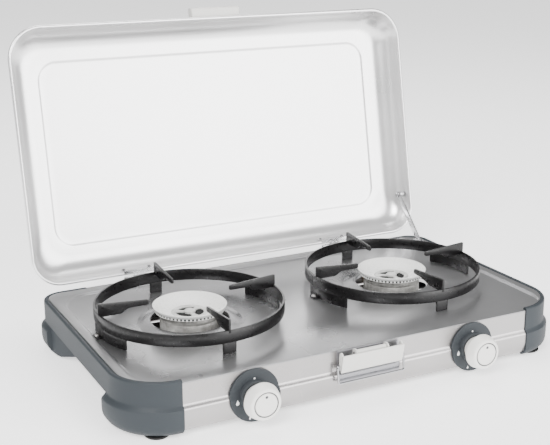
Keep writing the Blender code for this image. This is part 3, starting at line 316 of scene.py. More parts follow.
MARK_WHITE = smooth_cream("mark_white", (0.85, 0.85, 0.85), 0.5)
# Dark grey for the printed pointer dot on the knob and for the painted shade in the knob's groove.
PRINT_AND_SHADE_GREY = smooth_cream("mark_grey", (0.055, 0.055, 0.06), 0.5)
PLATED = plated_steel("plated_steel", (0.72, 0.72, 0.73), 0.22)
CHROME = plated_steel("chrome_wire", (0.42, 0.42, 0.43), 0.14)
LATCH_STEEL = plated_steel("latch_backing_steel", (0.34, 0.34, 0.36), 0.30)
DULL_STEEL = plated_steel("dull_steel", (0.42, 0.41, 0.40), 0.42)
BRASS = plated_steel("turned_brass", (0.62, 0.45, 0.20), 0.28)
# Painted shade: a near-black finish for the dark pieces put in the burner openings and on the mixing tubes,
# where there is only shade.
SLOT_PAINTED_SHADE = moulded_grey("burner_slot_soot", (0.010, 0.010, 0.010), 0.8)

# ------------------------------------------------------------------ working by hand, in steps


def clear_bench():
    if bpy.context.object is not None and bpy.context.object.mode != "OBJECT":
        bpy.ops.object.mode_set(mode="OBJECT")
    bpy.ops.object.select_all(action="DESELECT")


def take_up(piece):
    """Make a piece the only one selected and the one worked on."""
    clear_bench()
    piece.select_set(True)
    bpy.context.view_layer.objects.active = piece


def outline_numbers(sheet):
    """The layer that holds which outline each vertex belongs to."""
    layers = sheet.verts.layers.int
    return layers.get("outline") or layers.new("outline")


def select_points(test):
    """In edit mode: select what shows and passes a test of x, y, z (mm) and outline number."""
    sheet = bmesh.from_edit_mesh(bpy.context.edit_object.data)
    number = outline_numbers(sheet)
    for edge in sheet.edges:
        edge.select = False
    for vertex in sheet.verts:
        here = vertex.co / MM
        passes = test(here.x, here.y - HOB_MIDDLE / MM, here.z, vertex[number])
        vertex.select = bool(passes) and not vertex.hide
    sheet.select_flush(True)
    bmesh.update_edit_mesh(bpy.context.edit_object.data)


def number_points(value):
    """Mark what shows as outline `value`, so that it can be picked again."""
    sheet = bmesh.from_edit_mesh(bpy.context.edit_object.data)
    number = outline_numbers(sheet)
    for vertex in sheet.verts:
        if not vertex.hide:
            vertex[number] = value
    bmesh.update_edit_mesh(bpy.context.edit_object.data)


def round_cornered_loop(half_width, front, rear, front_radius, rear_radius, height, segments, value):
    """Add one rounded outline to the mesh in hand, marked with its number."""
    middle = spot(0.0, (front + rear) / 2.0, height)
    bpy.ops.mesh.select_all(action="SELECT")
    bpy.ops.mesh.hide(unselected=False)
    bpy.ops.mesh.primitive_plane_add(size=2.0, location=middle)
    bpy.ops.transform.resize(value=(half_width * MM, (rear - front) / 2.0 * MM, 1.0),
                             center_override=middle)
    for nearer, radius in ((True, front_radius), (False, rear_radius)):
        select_points(lambda x, y, z, i: abs(y - (front if nearer else rear)) < 0.01)
        bpy.ops.mesh.bevel(offset=radius * MM, segments=segments, affect="VERTICES",
                           clamp_overlap=False)
    bpy.ops.mesh.select_all(action="SELECT")
    bpy.ops.mesh.delete(type="ONLY_FACE")
    number_points(value)
    bpy.ops.mesh.reveal(select=False)


def press_sheet(name, outlines, segments=12, closed=False):
    """Bridge rounded outlines one after another; cap both ends, or join them when `closed`."""
    clear_bench()
    bpy.ops.mesh.primitive_plane_add(size=0.001, location=(0.0, 0.0, 0.0))
    sheet = bpy.context.object
    sheet.name = name
    bpy.ops.object.mode_set(mode="EDIT")
    bpy.ops.mesh.delete(type="VERT")
    for value, outline in enumerate(outlines):
        round_cornered_loop(*outline, segments, value)
        if value:
            select_points(lambda x, y, z, i: i in (value - 1, value))
            bpy.ops.mesh.bridge_edge_loops()
    last = len(outlines) - 1
    if closed:
        select_points(lambda x, y, z, i: i in (0, last))
        bpy.ops.mesh.bridge_edge_loops()
    else:
        for value in (0, last):
            select_points(lambda x, y, z, i: i == value)
            bpy.ops.mesh.edge_face_add()
    bpy.ops.mesh.select_all(action="SELECT")
    bpy.ops.mesh.normals_make_consistent(inside=False)
    bpy.ops.object.mode_set(mode="OBJECT")
    return sheet


def draw_line(name, points, closed):
    """One vertex, extruded from point to point; the points are places in metres."""
    clear_bench()
    bpy.ops.mesh.primitive_plane_add(size=0.001, location=points[0])
    line = bpy.context.object
    line.name = name
    bpy.ops.object.transform_apply(location=True, rotation=True, scale=True)
    bpy.ops.object.mode_set(mode="EDIT")
    bpy.ops.mesh.select_all(action="SELECT")
    bpy.ops.mesh.merge(type="CENTER")
    for before, after in zip(points, points[1:]):
        bpy.ops.mesh.extrude_vertices_move(TRANSFORM_OT_translate={"value": after - before})
    bpy.ops.mesh.select_all(action="SELECT")
    if closed:
        bpy.ops.mesh.edge_face_add()
    return line


def cut_plate(name, outline, run):
    """A flat outline filled and extruded by the vector `run`: bars, leaves, fingers, brackets."""
    plate = draw_line(name, outline, closed=True)
    bpy.ops.mesh.extrude_region_move(TRANSFORM_OT_translate={"value": run})
    bpy.ops.mesh.select_all(action="SELECT")
    bpy.ops.mesh.normals_make_consistent(inside=False)
    bpy.ops.object.mode_set(mode="OBJECT")
    return plate


def turn_profile(name, profile, centre, axis="Z", steps=64):
    """Spin a drawn (radius, height) profile about Z, -Y or X through `centre`."""
    if axis == "Z":
        points = [centre + Vector((r, 0.0, h)) * MM for r, h in profile]
        about = (0.0, 0.0, 1.0)
    elif axis == "-Y":
        points = [centre + Vector((r, -h, 0.0)) * MM for r, h in profile]
        about = (0.0, 1.0, 0.0)
    else:
        points = [centre + Vector((h, r, 0.0)) * MM for r, h in profile]
        about = (1.0, 0.0, 0.0)
    piece = draw_line(name, points, closed=False)
    bpy.ops.mesh.spin(steps=steps, angle=2.0 * pi, center=centre, axis=about)
    bpy.ops.mesh.select_all(action="SELECT")
    bpy.ops.mesh.remove_doubles(threshold=0.000005)
    bpy.ops.mesh.normals_make_consistent(inside=False)
    bpy.ops.object.mode_set(mode="OBJECT")
    return piece


def soften(piece, width, segments=2, angle=35.0):
    """Break the sharp edges with an applied bevel."""
    take_up(piece)
    bevel = piece.modifiers.new("edge", "BEVEL")
    bevel.width = width * MM
    bevel.segments = segments
    bevel.limit_method = "ANGLE"
    bevel.angle_limit = radians(angle)
    bpy.ops.object.modifier_apply(modifier=bevel.name)
    return piece


def work_with(piece, tool, operation="DIFFERENCE"):
    """Cut a piece with a tool, or keep only what they share; the tool is used up."""
    take_up(piece)
    cut = piece.modifiers.new("cut", "BOOLEAN")
    cut.operation = operation
    cut.solver = "EXACT"
    cut.object = tool
    bpy.ops.object.modifier_apply(modifier=cut.name)
    bpy.data.objects.remove(tool, do_unlink=True)


def block(low, high):
    """A cutter: a cube stretched between two corners, never shown."""
    clear_bench()
    middle = (low + high) / 2.0
    bpy.ops.mesh.primitive_cube_add(size=1.0, location=middle)
    cutter = bpy.context.object
    cutter.scale = high - low
    bpy.ops.object.transform_apply(location=True, rotation=True, scale=True)
    return cutter


def copy_of(piece):
    twin = piece.copy()
    twin.data = piece.data.copy()
    bpy.context.scene.collection.objects.link(twin)
    return twin


def turn_about(piece, centre, angle, axis="Z"):
    """Turn a piece by `angle` degrees about the line along `axis` through `centre`."""
    piece.data.transform(Matrix.Translation(centre) @ Matrix.Rotation(radians(angle), 4, axis)
                         @ Matrix.Translation(-centre))
    return piece


def weld(name, *parts):
    """Join pieces of one finish into one object."""
    clear_bench()
    for part in parts:
        part.select_set(True)
    bpy.context.view_layer.objects.active = parts[0]
    bpy.ops.object.join()
    parts[0].name = name
    return parts[0]


def swing_open(piece):
    """Turn a piece shaped with the lid shut to where the lid stands at rest."""
    turn_about(piece, HINGE_LINE, LID_SWING, "X")


def fit(piece, name, finish, body, nodes=(), smooth=32.0):
    """Give a shaped piece its finish and its body, and hide the imported nodes that it stands in for."""
    take_up(piece)
    bpy.ops.object.transform_apply(location=True, rotation=True, scale=True)
    bpy.ops.object.shade_smooth_by_angle(angle=radians(smooth))
    piece.name = name
    piece.data.name = name
    if finish is not None:
        piece.data.materials.clear()
        piece.data.materials.append(finish)
    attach(piece, body)
    if nodes:
        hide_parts(*nodes)
    return piece


def arc(cx, cy, radius, start, end, steps):
    """Points along an arc, angles in degrees."""
    return [(cx + radius * cos(radians(start + (end - start) * k / steps)),
             cy + radius * sin(radians(start + (end - start) * k / steps))) for k in range(steps + 1)]


def side_on(outline, x):
    """Places of a (y, z) outline standing at x."""
    return [spot(x, y, z) for y, z in outline]


def plate_along_x(name, outline, x_from, x_to):
    return cut_plate(name, side_on(outline, x_from), Vector(((x_to - x_from) * MM, 0.0, 0.0)))


def plate_upright(name, outline, low, high):
    return cut_plate(name, [spot(x, y, low) for x, y in outline], Vector((0.0, 0.0, (high - low) * MM)))


# ------------------------------------------------------------------ hob sheet


def build_hob_top():
    top = press_sheet("hob_top", [
        (257.0, -146.0, 146.0, 47.0, 19.0, 56.0),
        (260.0, -149.0, 149.0, 50.0, 22.0, 56.3),
        (260.0, -149.0, 149.0, 50.0, 22.0, 58.8),
        (259.75, -148.75, 148.75, 49.75, 21.75, 59.5),
        (259.2, -148.2, 148.2, 49.2, 21.2, 59.9),
        (258.5, -147.5, 147.5, 48.5, 20.5, 60.0)], segments=16)
    recess = press_sheet("recess_tool", [
        (241.0, -150.5, 123.0, 32.4, 32.0, 57.4),
        (245.4, -150.6, 127.4, 36.8, 36.4, 57.5),
        (246.4, -150.7, 128.4, 37.8, 37.4, 57.6),
        (247.3, -150.8, 129.3, 38.7, 38.3, 58.0),
        (248.5, -150.9, 130.5, 39.9, 39.5, 59.3),
        (249.2, -151.0, 131.2, 40.6, 40.2, 59.75),
        (250.2, -151.0, 132.2, 41.6, 41.2, 59.97),
        (250.4, -151.0, 132.4, 41.8, 41.4, 62.0)], segments=16)
    work_with(top, recess)
    work_with(top, block(*[spot(*corner) for corner in STAY_SLOT]))
    for x in BURNER_PLACES.values():
        hole = turn_profile("hole_tool", [(0.0, 50.0), (52.0, 50.0), (52.0, 66.0), (0.0, 66.0)],
                            spot(x, BURNER_ROW, 0.0), steps=96)
        work_with(top, hole)
    soften(top, 1.1, 3, 60.0)
    collars = [turn_profile("collar", [
        (58.6, 57.3), (57.4, 57.5), (56.2, 57.75), (54.6, 58.2), (51.5, 59.15), (48.0, 60.1), (46.0, 60.5),
        (44.7, 60.62), (43.9, 60.5), (43.5, 60.1), (43.3, 59.3), (43.3, 56.6), (44.4, 56.6), (44.4, 58.9),
        (51.5, 57.0), (58.6, 56.4), (58.6, 57.3)], spot(x, BURNER_ROW, 0.0), steps=128)
        for x in BURNER_PLACES.values()]
    top = weld("hob_top", top, *collars)
    return fit(top, "hob_top", HOB_SILVER_SHADED_COPY, "base", ("hob_plate",), 34.0)


FOLD = [(-149.0, 56.28), (-149.0, 35.2), (-149.1, 34.4), (-149.5, 33.6), (-150.2, 32.7), (-151.3, 31.5),
        (-152.0, 30.7), (-152.4, 29.9), (-152.5, 29.0), (-152.5, 20.5), (-152.3, 17.4), (-151.8, 14.4),
        (-150.9, 11.6), (-149.6, 9.1), (-147.9, 7.0), (-145.9, 5.4), (-143.7, 4.4), (-141.5, 4.0)]


def build_panels():
    low_y, low_z = FOLD[-1]
    skin = [(y + APRON_SHEET, max(z, low_z + APRON_SHEET)) for y, z in reversed(FOLD)]
    skin[0] = (low_y, low_z + APRON_SHEET)
    front = plate_along_x("front_apron", FOLD + skin, -APRON_HALF_WIDTH, APRON_HALF_WIDTH)
    fit(front, "front_apron", PANEL_SILVER_SHADED_COPY, "base", ("front_panel",), 40.0)
    behind = [(-y, z) for y, z in FOLD + skin]
    back = plate_along_x("back_apron", behind, -APRON_HALF_WIDTH, APRON_HALF_WIDTH)
    fit(back, "back_apron", PANEL_SILVER_SHADED_COPY, "base", ("back_panel",), 40.0)


# ------------------------------------------------------------------ moulded side frames


def frame_outline(out, height):
    front = min(out, 3.5)
    return (266.0 + out, -150.3 - front, 150.3 + front, 56.0 + out, 26.0 + out, height)


def build_side_frames():
    outlines = []
    for step in range(9):
        angle = radians(90.0 * (8 - step) / 8.0)
        outlines.append(frame_outline(5.0 - 11.0 * (1.0 - cos(angle)), 20.0 - 17.0 * sin(angle)))
    outlines += [frame_outline(out, z) for out, z in (
        (5.0, 29.2), (4.7, 30.2), (4.0, 31.2), (1.2, 33.8), (0.35, 34.8), (0.0, 35.9), (0.0, 58.2),
        (-0.25, 59.3), (-0.9, 60.1), (-1.9, 60.5), (-3.4, 60.55), (-4.6, 60.3), (-5.3, 59.8), (-5.6, 59.0),
        (-5.6, 56.0))]
    outlines.append((250.0, -138.0, 138.0, 39.0, 11.0, 50.0))
    outlines.append((250.0, -138.0, 138.0, 39.0, 11.0, 10.0))
    ring = press_sheet("frame_ring", outlines, segments=14, closed=True)
    for side, name in ((-1, "left"), (1, "right")):
        half = copy_of(ring)
        far, near = side * 290.0, side * FRAME_SPLIT
        low = spot(min(far, near), -170.0, -4.0)
        high = spot(max(far, near), 170.0, 70.0)
        work_with(half, block(low, high), "INTERSECT")
        near_end, far_end = RAIL_FRONT + RAIL_SLANT, RAIL_REAR - RAIL_SLANT
        plan = [(side * x, y) for x, y in (
            (300.0, RAIL_FRONT), (266.0, RAIL_FRONT), (250.0, near_end), (200.0, near_end),
            (200.0, far_end), (250.0, far_end), (266.0, RAIL_REAR), (300.0, RAIL_REAR))]
        work_with(half, plate_upright("hand_hold_tool", plan, -5.0, RAIL_UNDERSIDE))
        if side > 0:
            work_with(half, block(*[spot(*corner) for corner in STAY_SLOT]))
        soften(half, 0.9, 3, 50.0)
        fit(half, "frame_" + name, FRAME_GREY, "base", ("side_frame_" + name,), 36.0)
    bpy.data.objects.remove(ring, do_unlink=True)


# ------------------------------------------------------------------ lid


def lid_outline(inset, height, front_radius=None, rear_radius=None):
    """The lid's outline `inset` from its rim and `height` above the rim's plane, lid shut."""
    front = LID_FREE_RADIUS - inset if front_radius is None else front_radius
    rear = LID_HINGE_RADIUS - inset if rear_radius is None else rear_radius
    return (LID_HALF_WIDTH - inset, -LID_HALF_DEPTH + inset, LID_HALF_DEPTH - inset, front, rear,
            LID_RIM_PLANE + height)


def lid_skin(inset, depth, fillet):
    """Outlines up the wall, round its fillet and over the pressed line."""
    skin = []
    for step in range(11):
        angle = radians(9.0 * step)
        grow = fillet * (1.0 - cos(angle))
        share = grow / fillet
        front = LID_FREE_RADIUS - inset - share * LID_FREE_RADIUS_LOSS
        rear = (LID_HINGE_RADIUS - inset) * (1.0 - share) + LID_TOP_HINGE_RADIUS * share
        skin.append(lid_outline(inset + grow, depth - fillet * (1.0 - sin(angle)), front, rear))
    for edge, drop in ((-2.6, 0.12), (-1.5, 0.25), (-0.5, 0.6), (0.5, 1.0), (1.5, 1.3), (2.6, 1.45),
                       (8.0, 1.55)):
        radius = PRESSED_LINE_RADIUS - edge
        skin.append(lid_outline(PRESSED_LINE_INSET + edge, depth + drop, radius, radius))
    return skin


def build_lid():
    inside = lid_skin(LID_WALL_INSET, LID_DEPTH, LID_FILLET)
    outside = lid_skin(LID_WALL_INSET - LID_SHEET, LID_DEPTH + LID_TOP_SHEET, LID_FILLET + LID_SHEET)
    roll = [lid_outline(4.05, 3.4)]
    for step in range(13):
        angle = radians(-15.0 - 22.5 * step)
        roll.append(lid_outline(ROLL_MIDDLE + ROLL_RADIUS * cos(angle),
                                ROLL_MIDDLE + ROLL_RADIUS * sin(angle)))
    roll.append(lid_outline(2.75, 4.9))
    pan = press_sheet("lid_shell", list(reversed(inside)) + roll + outside, segments=16)
    swing_open(pan)
    fit(pan, "lid_shell", LID_SILVER_LIT_COPY, "lid", ("lid_pan",), 40.0)

    nose = [(-150.9, 66.6), (-160.5, 66.6)] + arc(-163.0, 69.0, 2.4, 270.0, 180.0, 5)
    nose += arc(-163.0, 76.0, 2.4, 180.0, 90.0, 5)
    nose += [(-160.5, 78.4), (-150.9, 78.4)]
    tab = plate_along_x("catch_tab", nose, -33.0, 33.0)
    soften(tab, 1.4, 4, 60.0)
    swing_open(tab)
    fit(tab, "catch_tab", LATCH_CREAM, "lid", ("lid_catch",), 40.0)


def build_stay():
    y, z = STAY_PIVOT_AT
    bar = arc(y, z, 4.6, -90.0, 90.0, 16) + [(y - 76.0, z + 4.2)]
    bar += arc(y - 78.0, z, 3.6, 110.0, 250.0, 10) + [(y - 76.0, z - 4.2)]
    blade = plate_along_x("stay_bar", bar, 254.0, 256.0)
    soften(blade, 0.35, 2, 60.0)
    turn_about(blade, STAY_PIVOT, STAY_SWING, "X")
    swing_open(blade)
    fit(blade, "stay_bar", PLATED, "stay", ("lid_stay",), 40.0)
    head = turn_profile("stay_rivet_head", [(0.0, -2.4), (1.6, -2.2), (3.0, -1.5), (3.8, -0.5),
                                            (4.0, 0.0), (0.0, 0.0)],
                        spot(253.7, y, z), axis="X", steps=40)
    swing_open(head)
    fit(head, "stay_rivet_head", CHROME, "lid", ("stay_screw",), 50.0)


# ------------------------------------------------------------------ pan supports


def build_finger(x):
    """The finger that points along +x, on the burner at x."""
    outline = [(104.9, 79.6), (104.9, 93.4), (104.6, 94.2), (103.8, 94.5), (102.6, 94.5), (50.0, 90.6),
               (48.7, 90.2), (48.0, 89.2), (47.8, 87.8), (47.8, 86.3), (48.3, 85.2), (49.6, 84.7),
               (70.0, 84.5), (71.8, 84.1), (73.6, 83.1), (76.6, 80.9), (78.4, 80.0), (80.6, 79.6)]
    finger = cut_plate("finger", [spot(x + r, BURNER_ROW - FINGER_THICKNESS / 2.0, h)
                                  for r, h in outline], Vector((0.0, FINGER_THICKNESS * MM, 0.0)))
    return soften(finger, 0.5, 2, 60.0)


def band_leg(x, start, end, steps):
    """A stretch of the band brought down to the hob, between two angles round the burner."""
    plan = arc(x, BURNER_ROW, BAND_OUTER, start, end, steps)
    plan += arc(x, BURNER_ROW, BAND_INNER, end, start, steps)
    return soften(plate_upright("band_leg", plan, 57.65, 70.5), 0.5, 2, 60.0)


def build_pan_supports():
    for side, x in BURNER_PLACES.items():
        middle = spot(x, BURNER_ROW, 0.0)
        band = turn_profile("band", [
            (102.0, 69.6), (102.3, 69.2), (102.8, 69.1), (103.9, 69.1), (104.4, 69.2), (104.7, 69.6),
            (104.7, 82.1), (104.4, 82.5), (103.9, 82.6), (102.8, 82.6), (102.3, 82.5), (102.0, 82.1),
            (102.0, 69.6)], middle, steps=144)
        parts = [band]
        finger = build_finger(x)
        parts.append(finger)
        for turn in (90.0, 180.0, 270.0):
            parts.append(turn_about(copy_of(finger), middle, turn))
        for start, end, steps in (
                (-9.0, 28.0, 18), (171.0, 208.0, 18), (85.8, 94.2, 6), (265.8, 274.2, 6)):
            parts.append(band_leg(x, start, end, steps))
        for end, turn, reach in (("right", 0.0, FOOT_REACH), ("left", 180.0, -FOOT_REACH)):
            flat = [(x + 102.2, BURNER_ROW - 6.5), (x + 107.6, BURNER_ROW - 6.5)]
            flat += arc(x + 107.4, BURNER_ROW - 3.6, 2.9, -80.0, 0.0, 4)
            flat += arc(x + 107.4, BURNER_ROW + 3.6, 2.9, 0.0, 80.0, 4)
            flat += [(x + 107.6, BURNER_ROW + 6.5), (x + 102.2, BURNER_ROW + 6.5)]
            tab = soften(plate_upright("foot_tab", flat, 57.65, 59.1), 0.3, 2, 60.0)
            parts.append(turn_about(tab, middle, turn))
            screw = turn_profile("tab_screw", [(0.0, 58.9), (3.0, 58.9), (3.0, 60.0), (2.6, 60.7),
                                               (1.6, 61.1), (0.0, 61.2)],
                                 spot(x + reach, BURNER_ROW, 0.0), steps=32)
            fit(screw, "tab_screw_%s_%s" % (side, end), DULL_STEEL, "base",
                ("support_screw_%s_%s" % (side, end),), 40.0)
        support = weld("ring_support_" + side, *parts)
        fit(support, "ring_support_" + side, SUPPORT_ENAMEL, "base", ("pan_support_" + side,),
            40.0)


# ------------------------------------------------------------------ burners


def press_slots(ring, middle, low, high, count):
    """Push every second face of a band in towards the axis, as flame slots."""
    take_up(ring)
    bpy.ops.object.mode_set(mode="EDIT")
    bpy.ops.mesh.select_mode(type="FACE")
    bpy.ops.mesh.select_all(action="DESELECT")
    sheet = bmesh.from_edit_mesh(ring.data)
    for face in sheet.faces:
        here = (face.calc_center_median() - middle) / MM
        flat = Vector((here.x, here.y))
        step = int((pi + flat.angle_signed(Vector((1.0, 0.0)))) / (2.0 * pi) * count)
        on_wall = low < here.z < high and flat.length > SLOT_WALL_RADIUS
        face.select = on_wall and step % 2 == 0
    bmesh.update_edit_mesh(ring.data)
    bpy.ops.mesh.extrude_region_move(TRANSFORM_OT_translate={"value": (0.0, 0.0, 0.0)})
    bpy.ops.transform.resize(value=(SLOT_SHRINK, SLOT_SHRINK, 1.0),
                             center_override=middle + Vector((0.0, 0.0, (low + high) / 2.0 * MM)))
    bpy.ops.mesh.select_mode(type="VERT")
    bpy.ops.object.mode_set(mode="OBJECT")
    return ring


def build_burners():
    for side, x in BURNER_PLACES.items():
        middle = spot(x, BURNER_ROW, 0.0)
        dish = turn_profile("dish", [
            (20.0, 66.4), (26.6, 66.5), (28.6, 67.2), (29.2, 69.1), (31.6, 69.2), (34.6, 69.6), (36.8, 70.2),
            (38.2, 70.6), (38.5, 70.75), (38.5, 73.15), (38.7, 73.5), (39.8, 74.4), (40.6, 75.6),
            (40.95, 76.6), (40.85, 77.1), (40.4, 77.4), (39.8, 77.35), (38.9, 76.7), (37.2, 74.9),
            (34.6, 72.8), (31.4, 71.0), (28.0, 69.5), (24.4, 68.4), (21.6, 68.0), (20.4, 67.8),
            (19.9, 67.3), (20.0, 66.4)], middle, steps=SLOT_STEPS)
        press_slots(dish, middle, 70.8, 73.1, SLOT_STEPS)
        fit(dish, "burner_dish_" + side, CAP_ENAMEL, "cap_" + side, ("burner_cap_" + side,),
            38.0)
        hub = turn_profile("hub", [(0.0, 66.5), (5.6, 66.5), (6.2, 67.0), (6.2, 69.0), (5.4, 70.0),
                                   (3.4, 70.5), (0.0, 70.6)], middle, steps=64)
        edge = turn_profile("hub_edge", [(15.6, 66.5), (20.2, 66.5), (20.6, 67.0), (20.4, 68.1),
                                         (19.4, 68.5), (16.4, 68.3), (15.4, 67.6), (15.6, 66.5)],
                            middle, steps=80)
        spoke = cut_plate("spoke", [spot(x + r, BURNER_ROW + w, 66.6) for r, w in (
            (4.0, -2.4), (11.0, -2.4), (16.4, -4.6), (16.4, 4.6), (11.0, 2.4), (4.0, 2.4))],
            Vector((0.0, 0.0, 1.9 * MM)))
        soften(spoke, 0.5, 2, 50.0)
        spokes = [turn_about(copy_of(spoke), middle, turn) for turn in (30.0, 150.0, 270.0)]
        bpy.data.objects.remove(spoke, do_unlink=True)
        star = weld("burner_star_" + side, hub, edge, *spokes)
        fit(star, "burner_star_" + side, STAR_CAST, "cap_" + side, (), 38.0)
        # Painted shade: a near-black disc under the hub and a near-black ring behind the flame slots stand
        # for the shade in the burner's openings.
        floor = turn_profile("slot_shade", [(0.0, 66.35), (19.0, 66.35), (19.2, 66.45), (0.0, 66.48)],
                             middle, steps=64)
        behind = turn_profile("slot_ring", [(36.0, 70.9), (37.7, 70.9), (37.7, 73.1), (36.0, 73.1),
                                            (36.0, 70.9)], middle, steps=SLOT_STEPS)
        shade = weld("slot_shade_" + side, floor, behind)
        fit(shade, "slot_shade_" + side, SLOT_PAINTED_SHADE, "cap_" + side, (), 38.0)
        cup = turn_profile("cast_cup", [
            (0.0, 19.2), (12.4, 19.2), (13.0, 19.8), (13.0, 38.4), (13.8, 40.6), (16.0, 41.8), (29.6, 42.0),
            (32.2, 42.8), (33.2, 44.8), (33.35, 47.0), (33.35, 62.0), (33.0, 63.0), (33.35, 64.0),
            (33.35, 67.6), (33.0, 68.6), (32.2, 68.9), (30.4, 68.9), (29.8, 68.3), (29.6, 47.6),
            (28.4, 45.8), (26.0, 45.2), (0.0, 45.2)], middle, steps=112)
        fit(cup, "cast_cup_" + side, CAST, "base", ("burner_body_" + side,), 38.0)


# ------------------------------------------------------------------ bezels and knobs


def build_controls():
    face = [(-151.9, 57.8), (-151.9, 35.2), (-152.05, 34.3), (-152.6, 33.3), (-153.4, 32.3), (-154.4, 31.1),
            (-155.0, 30.3), (-155.3, 29.5), (-155.4, 28.6), (-155.4, 1.8)]
    rear = [(y + 2.7, z) for y, z in reversed(face)]
    flame = [(0.0, 4.0), (0.7, 2.4), (1.9, 0.9), (2.2, -0.9), (1.5, -2.4), (0.0, -3.0), (-1.5, -2.4),
             (-2.2, -0.9), (-1.6, 0.7), (-0.9, 1.6)]
    for side, x in KNOB_PLACES.items():
        middle = spot(x, 0.0, KNOB_HEIGHT)
        bezel = plate_along_x("bezel_slab", face + rear, x - 30.0, x + 30.0)
        disc = turn_profile("bezel_tool", [(0.0, 140.0), (BEZEL_RADIUS, 140.0), (BEZEL_RADIUS, 160.0),
                                           (0.0, 160.0)], middle, axis="-Y", steps=128)
        work_with(bezel, disc, "INTERSECT")
        soften(bezel, 0.9, 3, 60.0)
        fit(bezel, "bezel_disc_" + side, BEZEL_GREY, "base", ("bezel_" + side,), 36.0)

        neck = turn_profile("neck_ring", [(13.6, 151.0), (16.8, 151.0), (16.8, 156.2), (16.4, 156.9),
                                          (15.4, 157.2), (14.4, 157.0), (13.6, 156.4), (13.6, 151.0)],
                            middle, axis="-Y", steps=96)
        fit(neck, "neck_ring_" + side, NECK_GREY, "base", (), 38.0)

        knob = turn_profile("knob_turned", [
            (0.0, 155.9), (12.2, 155.9), (12.9, 156.4), (13.1, 158.0), (13.4, 160.4), (14.6, 162.6),
            (16.8, 164.4), (18.4, 165.5), (19.1, 166.5), (19.25, 167.7), (19.1, 169.0), (18.5, 172.0),
            (17.6, 175.0), (16.9, 176.8), (16.2, 177.8), (15.2, 178.3), (14.2, 178.4), (13.5, 178.35),
            (13.2, 178.15), (13.1, 177.6), (13.1, 176.3), (0.0, 176.3)], middle, axis="-Y", steps=128)
        fit(knob, "knob_cap_" + side, KNOB_CREAM, "knob_%s_turning" % side, ("knob_" + side,),
            38.0)
        face_disc = turn_profile("knob_face", [
            (0.0, 176.4), (12.0, 176.4), (12.1, 177.9), (11.9, 178.4), (11.4, 178.7), (10.6, 178.8),
            (9.0, 178.83), (0.0, 178.85)], middle, axis="-Y", steps=128)
        fit(face_disc, "knob_face_" + side, KNOB_CREAM, "knob_%s_turning" % side,
            ("knob_insert_" + side,), 38.0)
        # Painted shade: a dark grey ring set into the groove round the knob's face.
        shadow = turn_profile("knob_groove", [(12.2, 176.3), (13.3, 176.3), (13.3, 178.3), (12.9, 178.3),
                                              (12.2, 177.9), (12.2, 176.3)], middle, axis="-Y", steps=96)
        fit(shadow, "knob_groove_" + side, PRINT_AND_SHADE_GREY, "knob_%s_turning" % side, (),
            38.0)
        dot = turn_profile("knob_dot", [(0.0, 178.6), (1.5, 178.6), (1.5, 178.9), (1.3, 178.98),
                                        (0.0, 179.0)], middle + Vector((0.0, 0.0, 8.3 * MM)),
                           axis="-Y", steps=32)
        fit(dot, "knob_dot_" + side, PRINT_AND_SHADE_GREY, "knob_%s_turning" % side, (), 38.0)

        marks = [turn_profile("mark_dot", [(0.0, 151.5), (1.0, 151.5), (1.0, 152.0), (0.8, 152.1),
                                           (0.0, 152.1)], middle + Vector((0.0, 0.0, 17.6 * MM)),
                              axis="-Y", steps=32)]
        for dx, dz, size in ((-20.4, -3.4, 0.85), (-7.0, -22.4, 0.5), (19.6, -8.0, 0.5)):
            shape = [spot(x + dx + size * a, -155.1, KNOB_HEIGHT + dz + size * b) for a, b in flame]
            marks.append(cut_plate("mark_flame", shape, Vector((0.0, -0.4 * MM, 0.0))))
        marks = weld("bezel_marks_" + side, *marks)
        fit(marks, "bezel_marks_" + side, MARK_WHITE, "base", (), 38.0)


# ------------------------------------------------------------------ latch


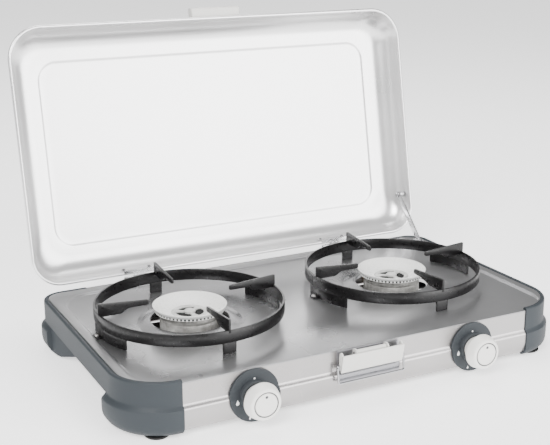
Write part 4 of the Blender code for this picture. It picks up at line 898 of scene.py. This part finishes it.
def build_latch():
    cover = [(-159.8, 54.2), (-160.5, 54.8), (-161.4, 54.7), (-162.0, 53.9), (-161.9, 52.8), (-158.9, 36.4),
             (-158.3, 35.2), (-157.4, 34.8), (-156.6, 35.4), (-156.7, 36.6), (-159.6, 52.8)]
    lever = plate_along_x("lever_cover", cover, -37.4, 37.4)
    soften(lever, 0.5, 2, 60.0)
    cheek = [(-161.1, 53.4), (-158.1, 36.2), (-156.4, 37.0), (-154.9, 39.4), (-153.2, 42.0), (-153.0, 50.6),
             (-153.8, 54.6), (-155.0, 56.4), (-156.8, 57.2)]
    parts = [lever]
    for start in (-37.4, 35.2):
        parts.append(soften(plate_along_x("lever_cheek", cheek, start, start + 2.2), 0.5, 2, 60.0))
    bar = turn_profile("lever_bar", [(0.0, -17.6), (2.2, -17.6), (2.7, -17.1), (2.7, 17.1), (2.2, 17.6),
                                     (0.0, 17.6)], spot(0.0, -155.5, 54.0), axis="X", steps=48)
    parts.append(bar)
    web = [(-155.5, 51.8), (-155.5, 55.0), (-159.6, 52.0), (-160.0, 47.4)]
    for start in (-17.0, 14.8):
        parts.append(soften(plate_along_x("lever_web", web, start, start + 2.2), 0.3, 2, 60.0))
    lever = weld("lever_cover", *parts)
    fit(lever, "lever_cover", LATCH_CREAM, "lever", ("latch_lever",), 40.0)
    ear = [(-150.6, 56.4), (-150.6, 44.5), (-152.8, 44.5), (-157.6, 50.6), (-159.3, 53.4), (-159.4, 55.4),
           (-158.2, 57.2), (-156.0, 58.0), (-153.0, 57.6)]
    for middle, side in ((-19.0, "left"), (19.0, "right")):
        lug = soften(plate_along_x("latch_ear", ear, middle - 0.9, middle + 0.9), 0.35, 2, 60.0)
        fit(lug, "latch_ear_" + side, LATCH_CREAM, "base", (), 40.0)


build_hob_top()
build_panels()
build_side_frames()
build_lid()
build_stay()
build_pan_supports()
build_burners()
build_controls()
build_latch()

# ------------------------------------------------------------------ finishes of the kept nodes

KEPT = {
    "base_sheet": PANEL_SILVER_SHADED_COPY, "latch_bracket": LATCH_STEEL, "latch_rivet_left": CHROME,
    "latch_rivet_right": CHROME, "latch_pin": CHROME, "latch_bail": CHROME, "gas_pipe": BRASS,
    "gas_inlet": BRASS, "stay_bush": PLATED}
for side in ("left", "right"):
    # Painted shade: the mixing tubes, in shadow down the burner holes, are given the near-black slot finish.
    KEPT["mixing_tube_" + side] = SLOT_PAINTED_SHADE
    for name in ("valve_body_", "valve_spindle_", "jet_"):
        KEPT[name + side] = BRASS
    for name in ("hinge_leaf_base_", "hinge_leaf_lid_", "hinge_pin_"):
        KEPT[name + side] = PLATED
    for end in ("inner", "outer"):
        KEPT["hinge_rivet_%s_%s" % (side, end)] = CHROME
    for end in ("front", "rear"):
        KEPT["foot_pad_%s_%s" % (end, side)] = PAD_BLACK
for name, finish in KEPT.items():
    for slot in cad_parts[name].material_slots:
        slot.material = finish
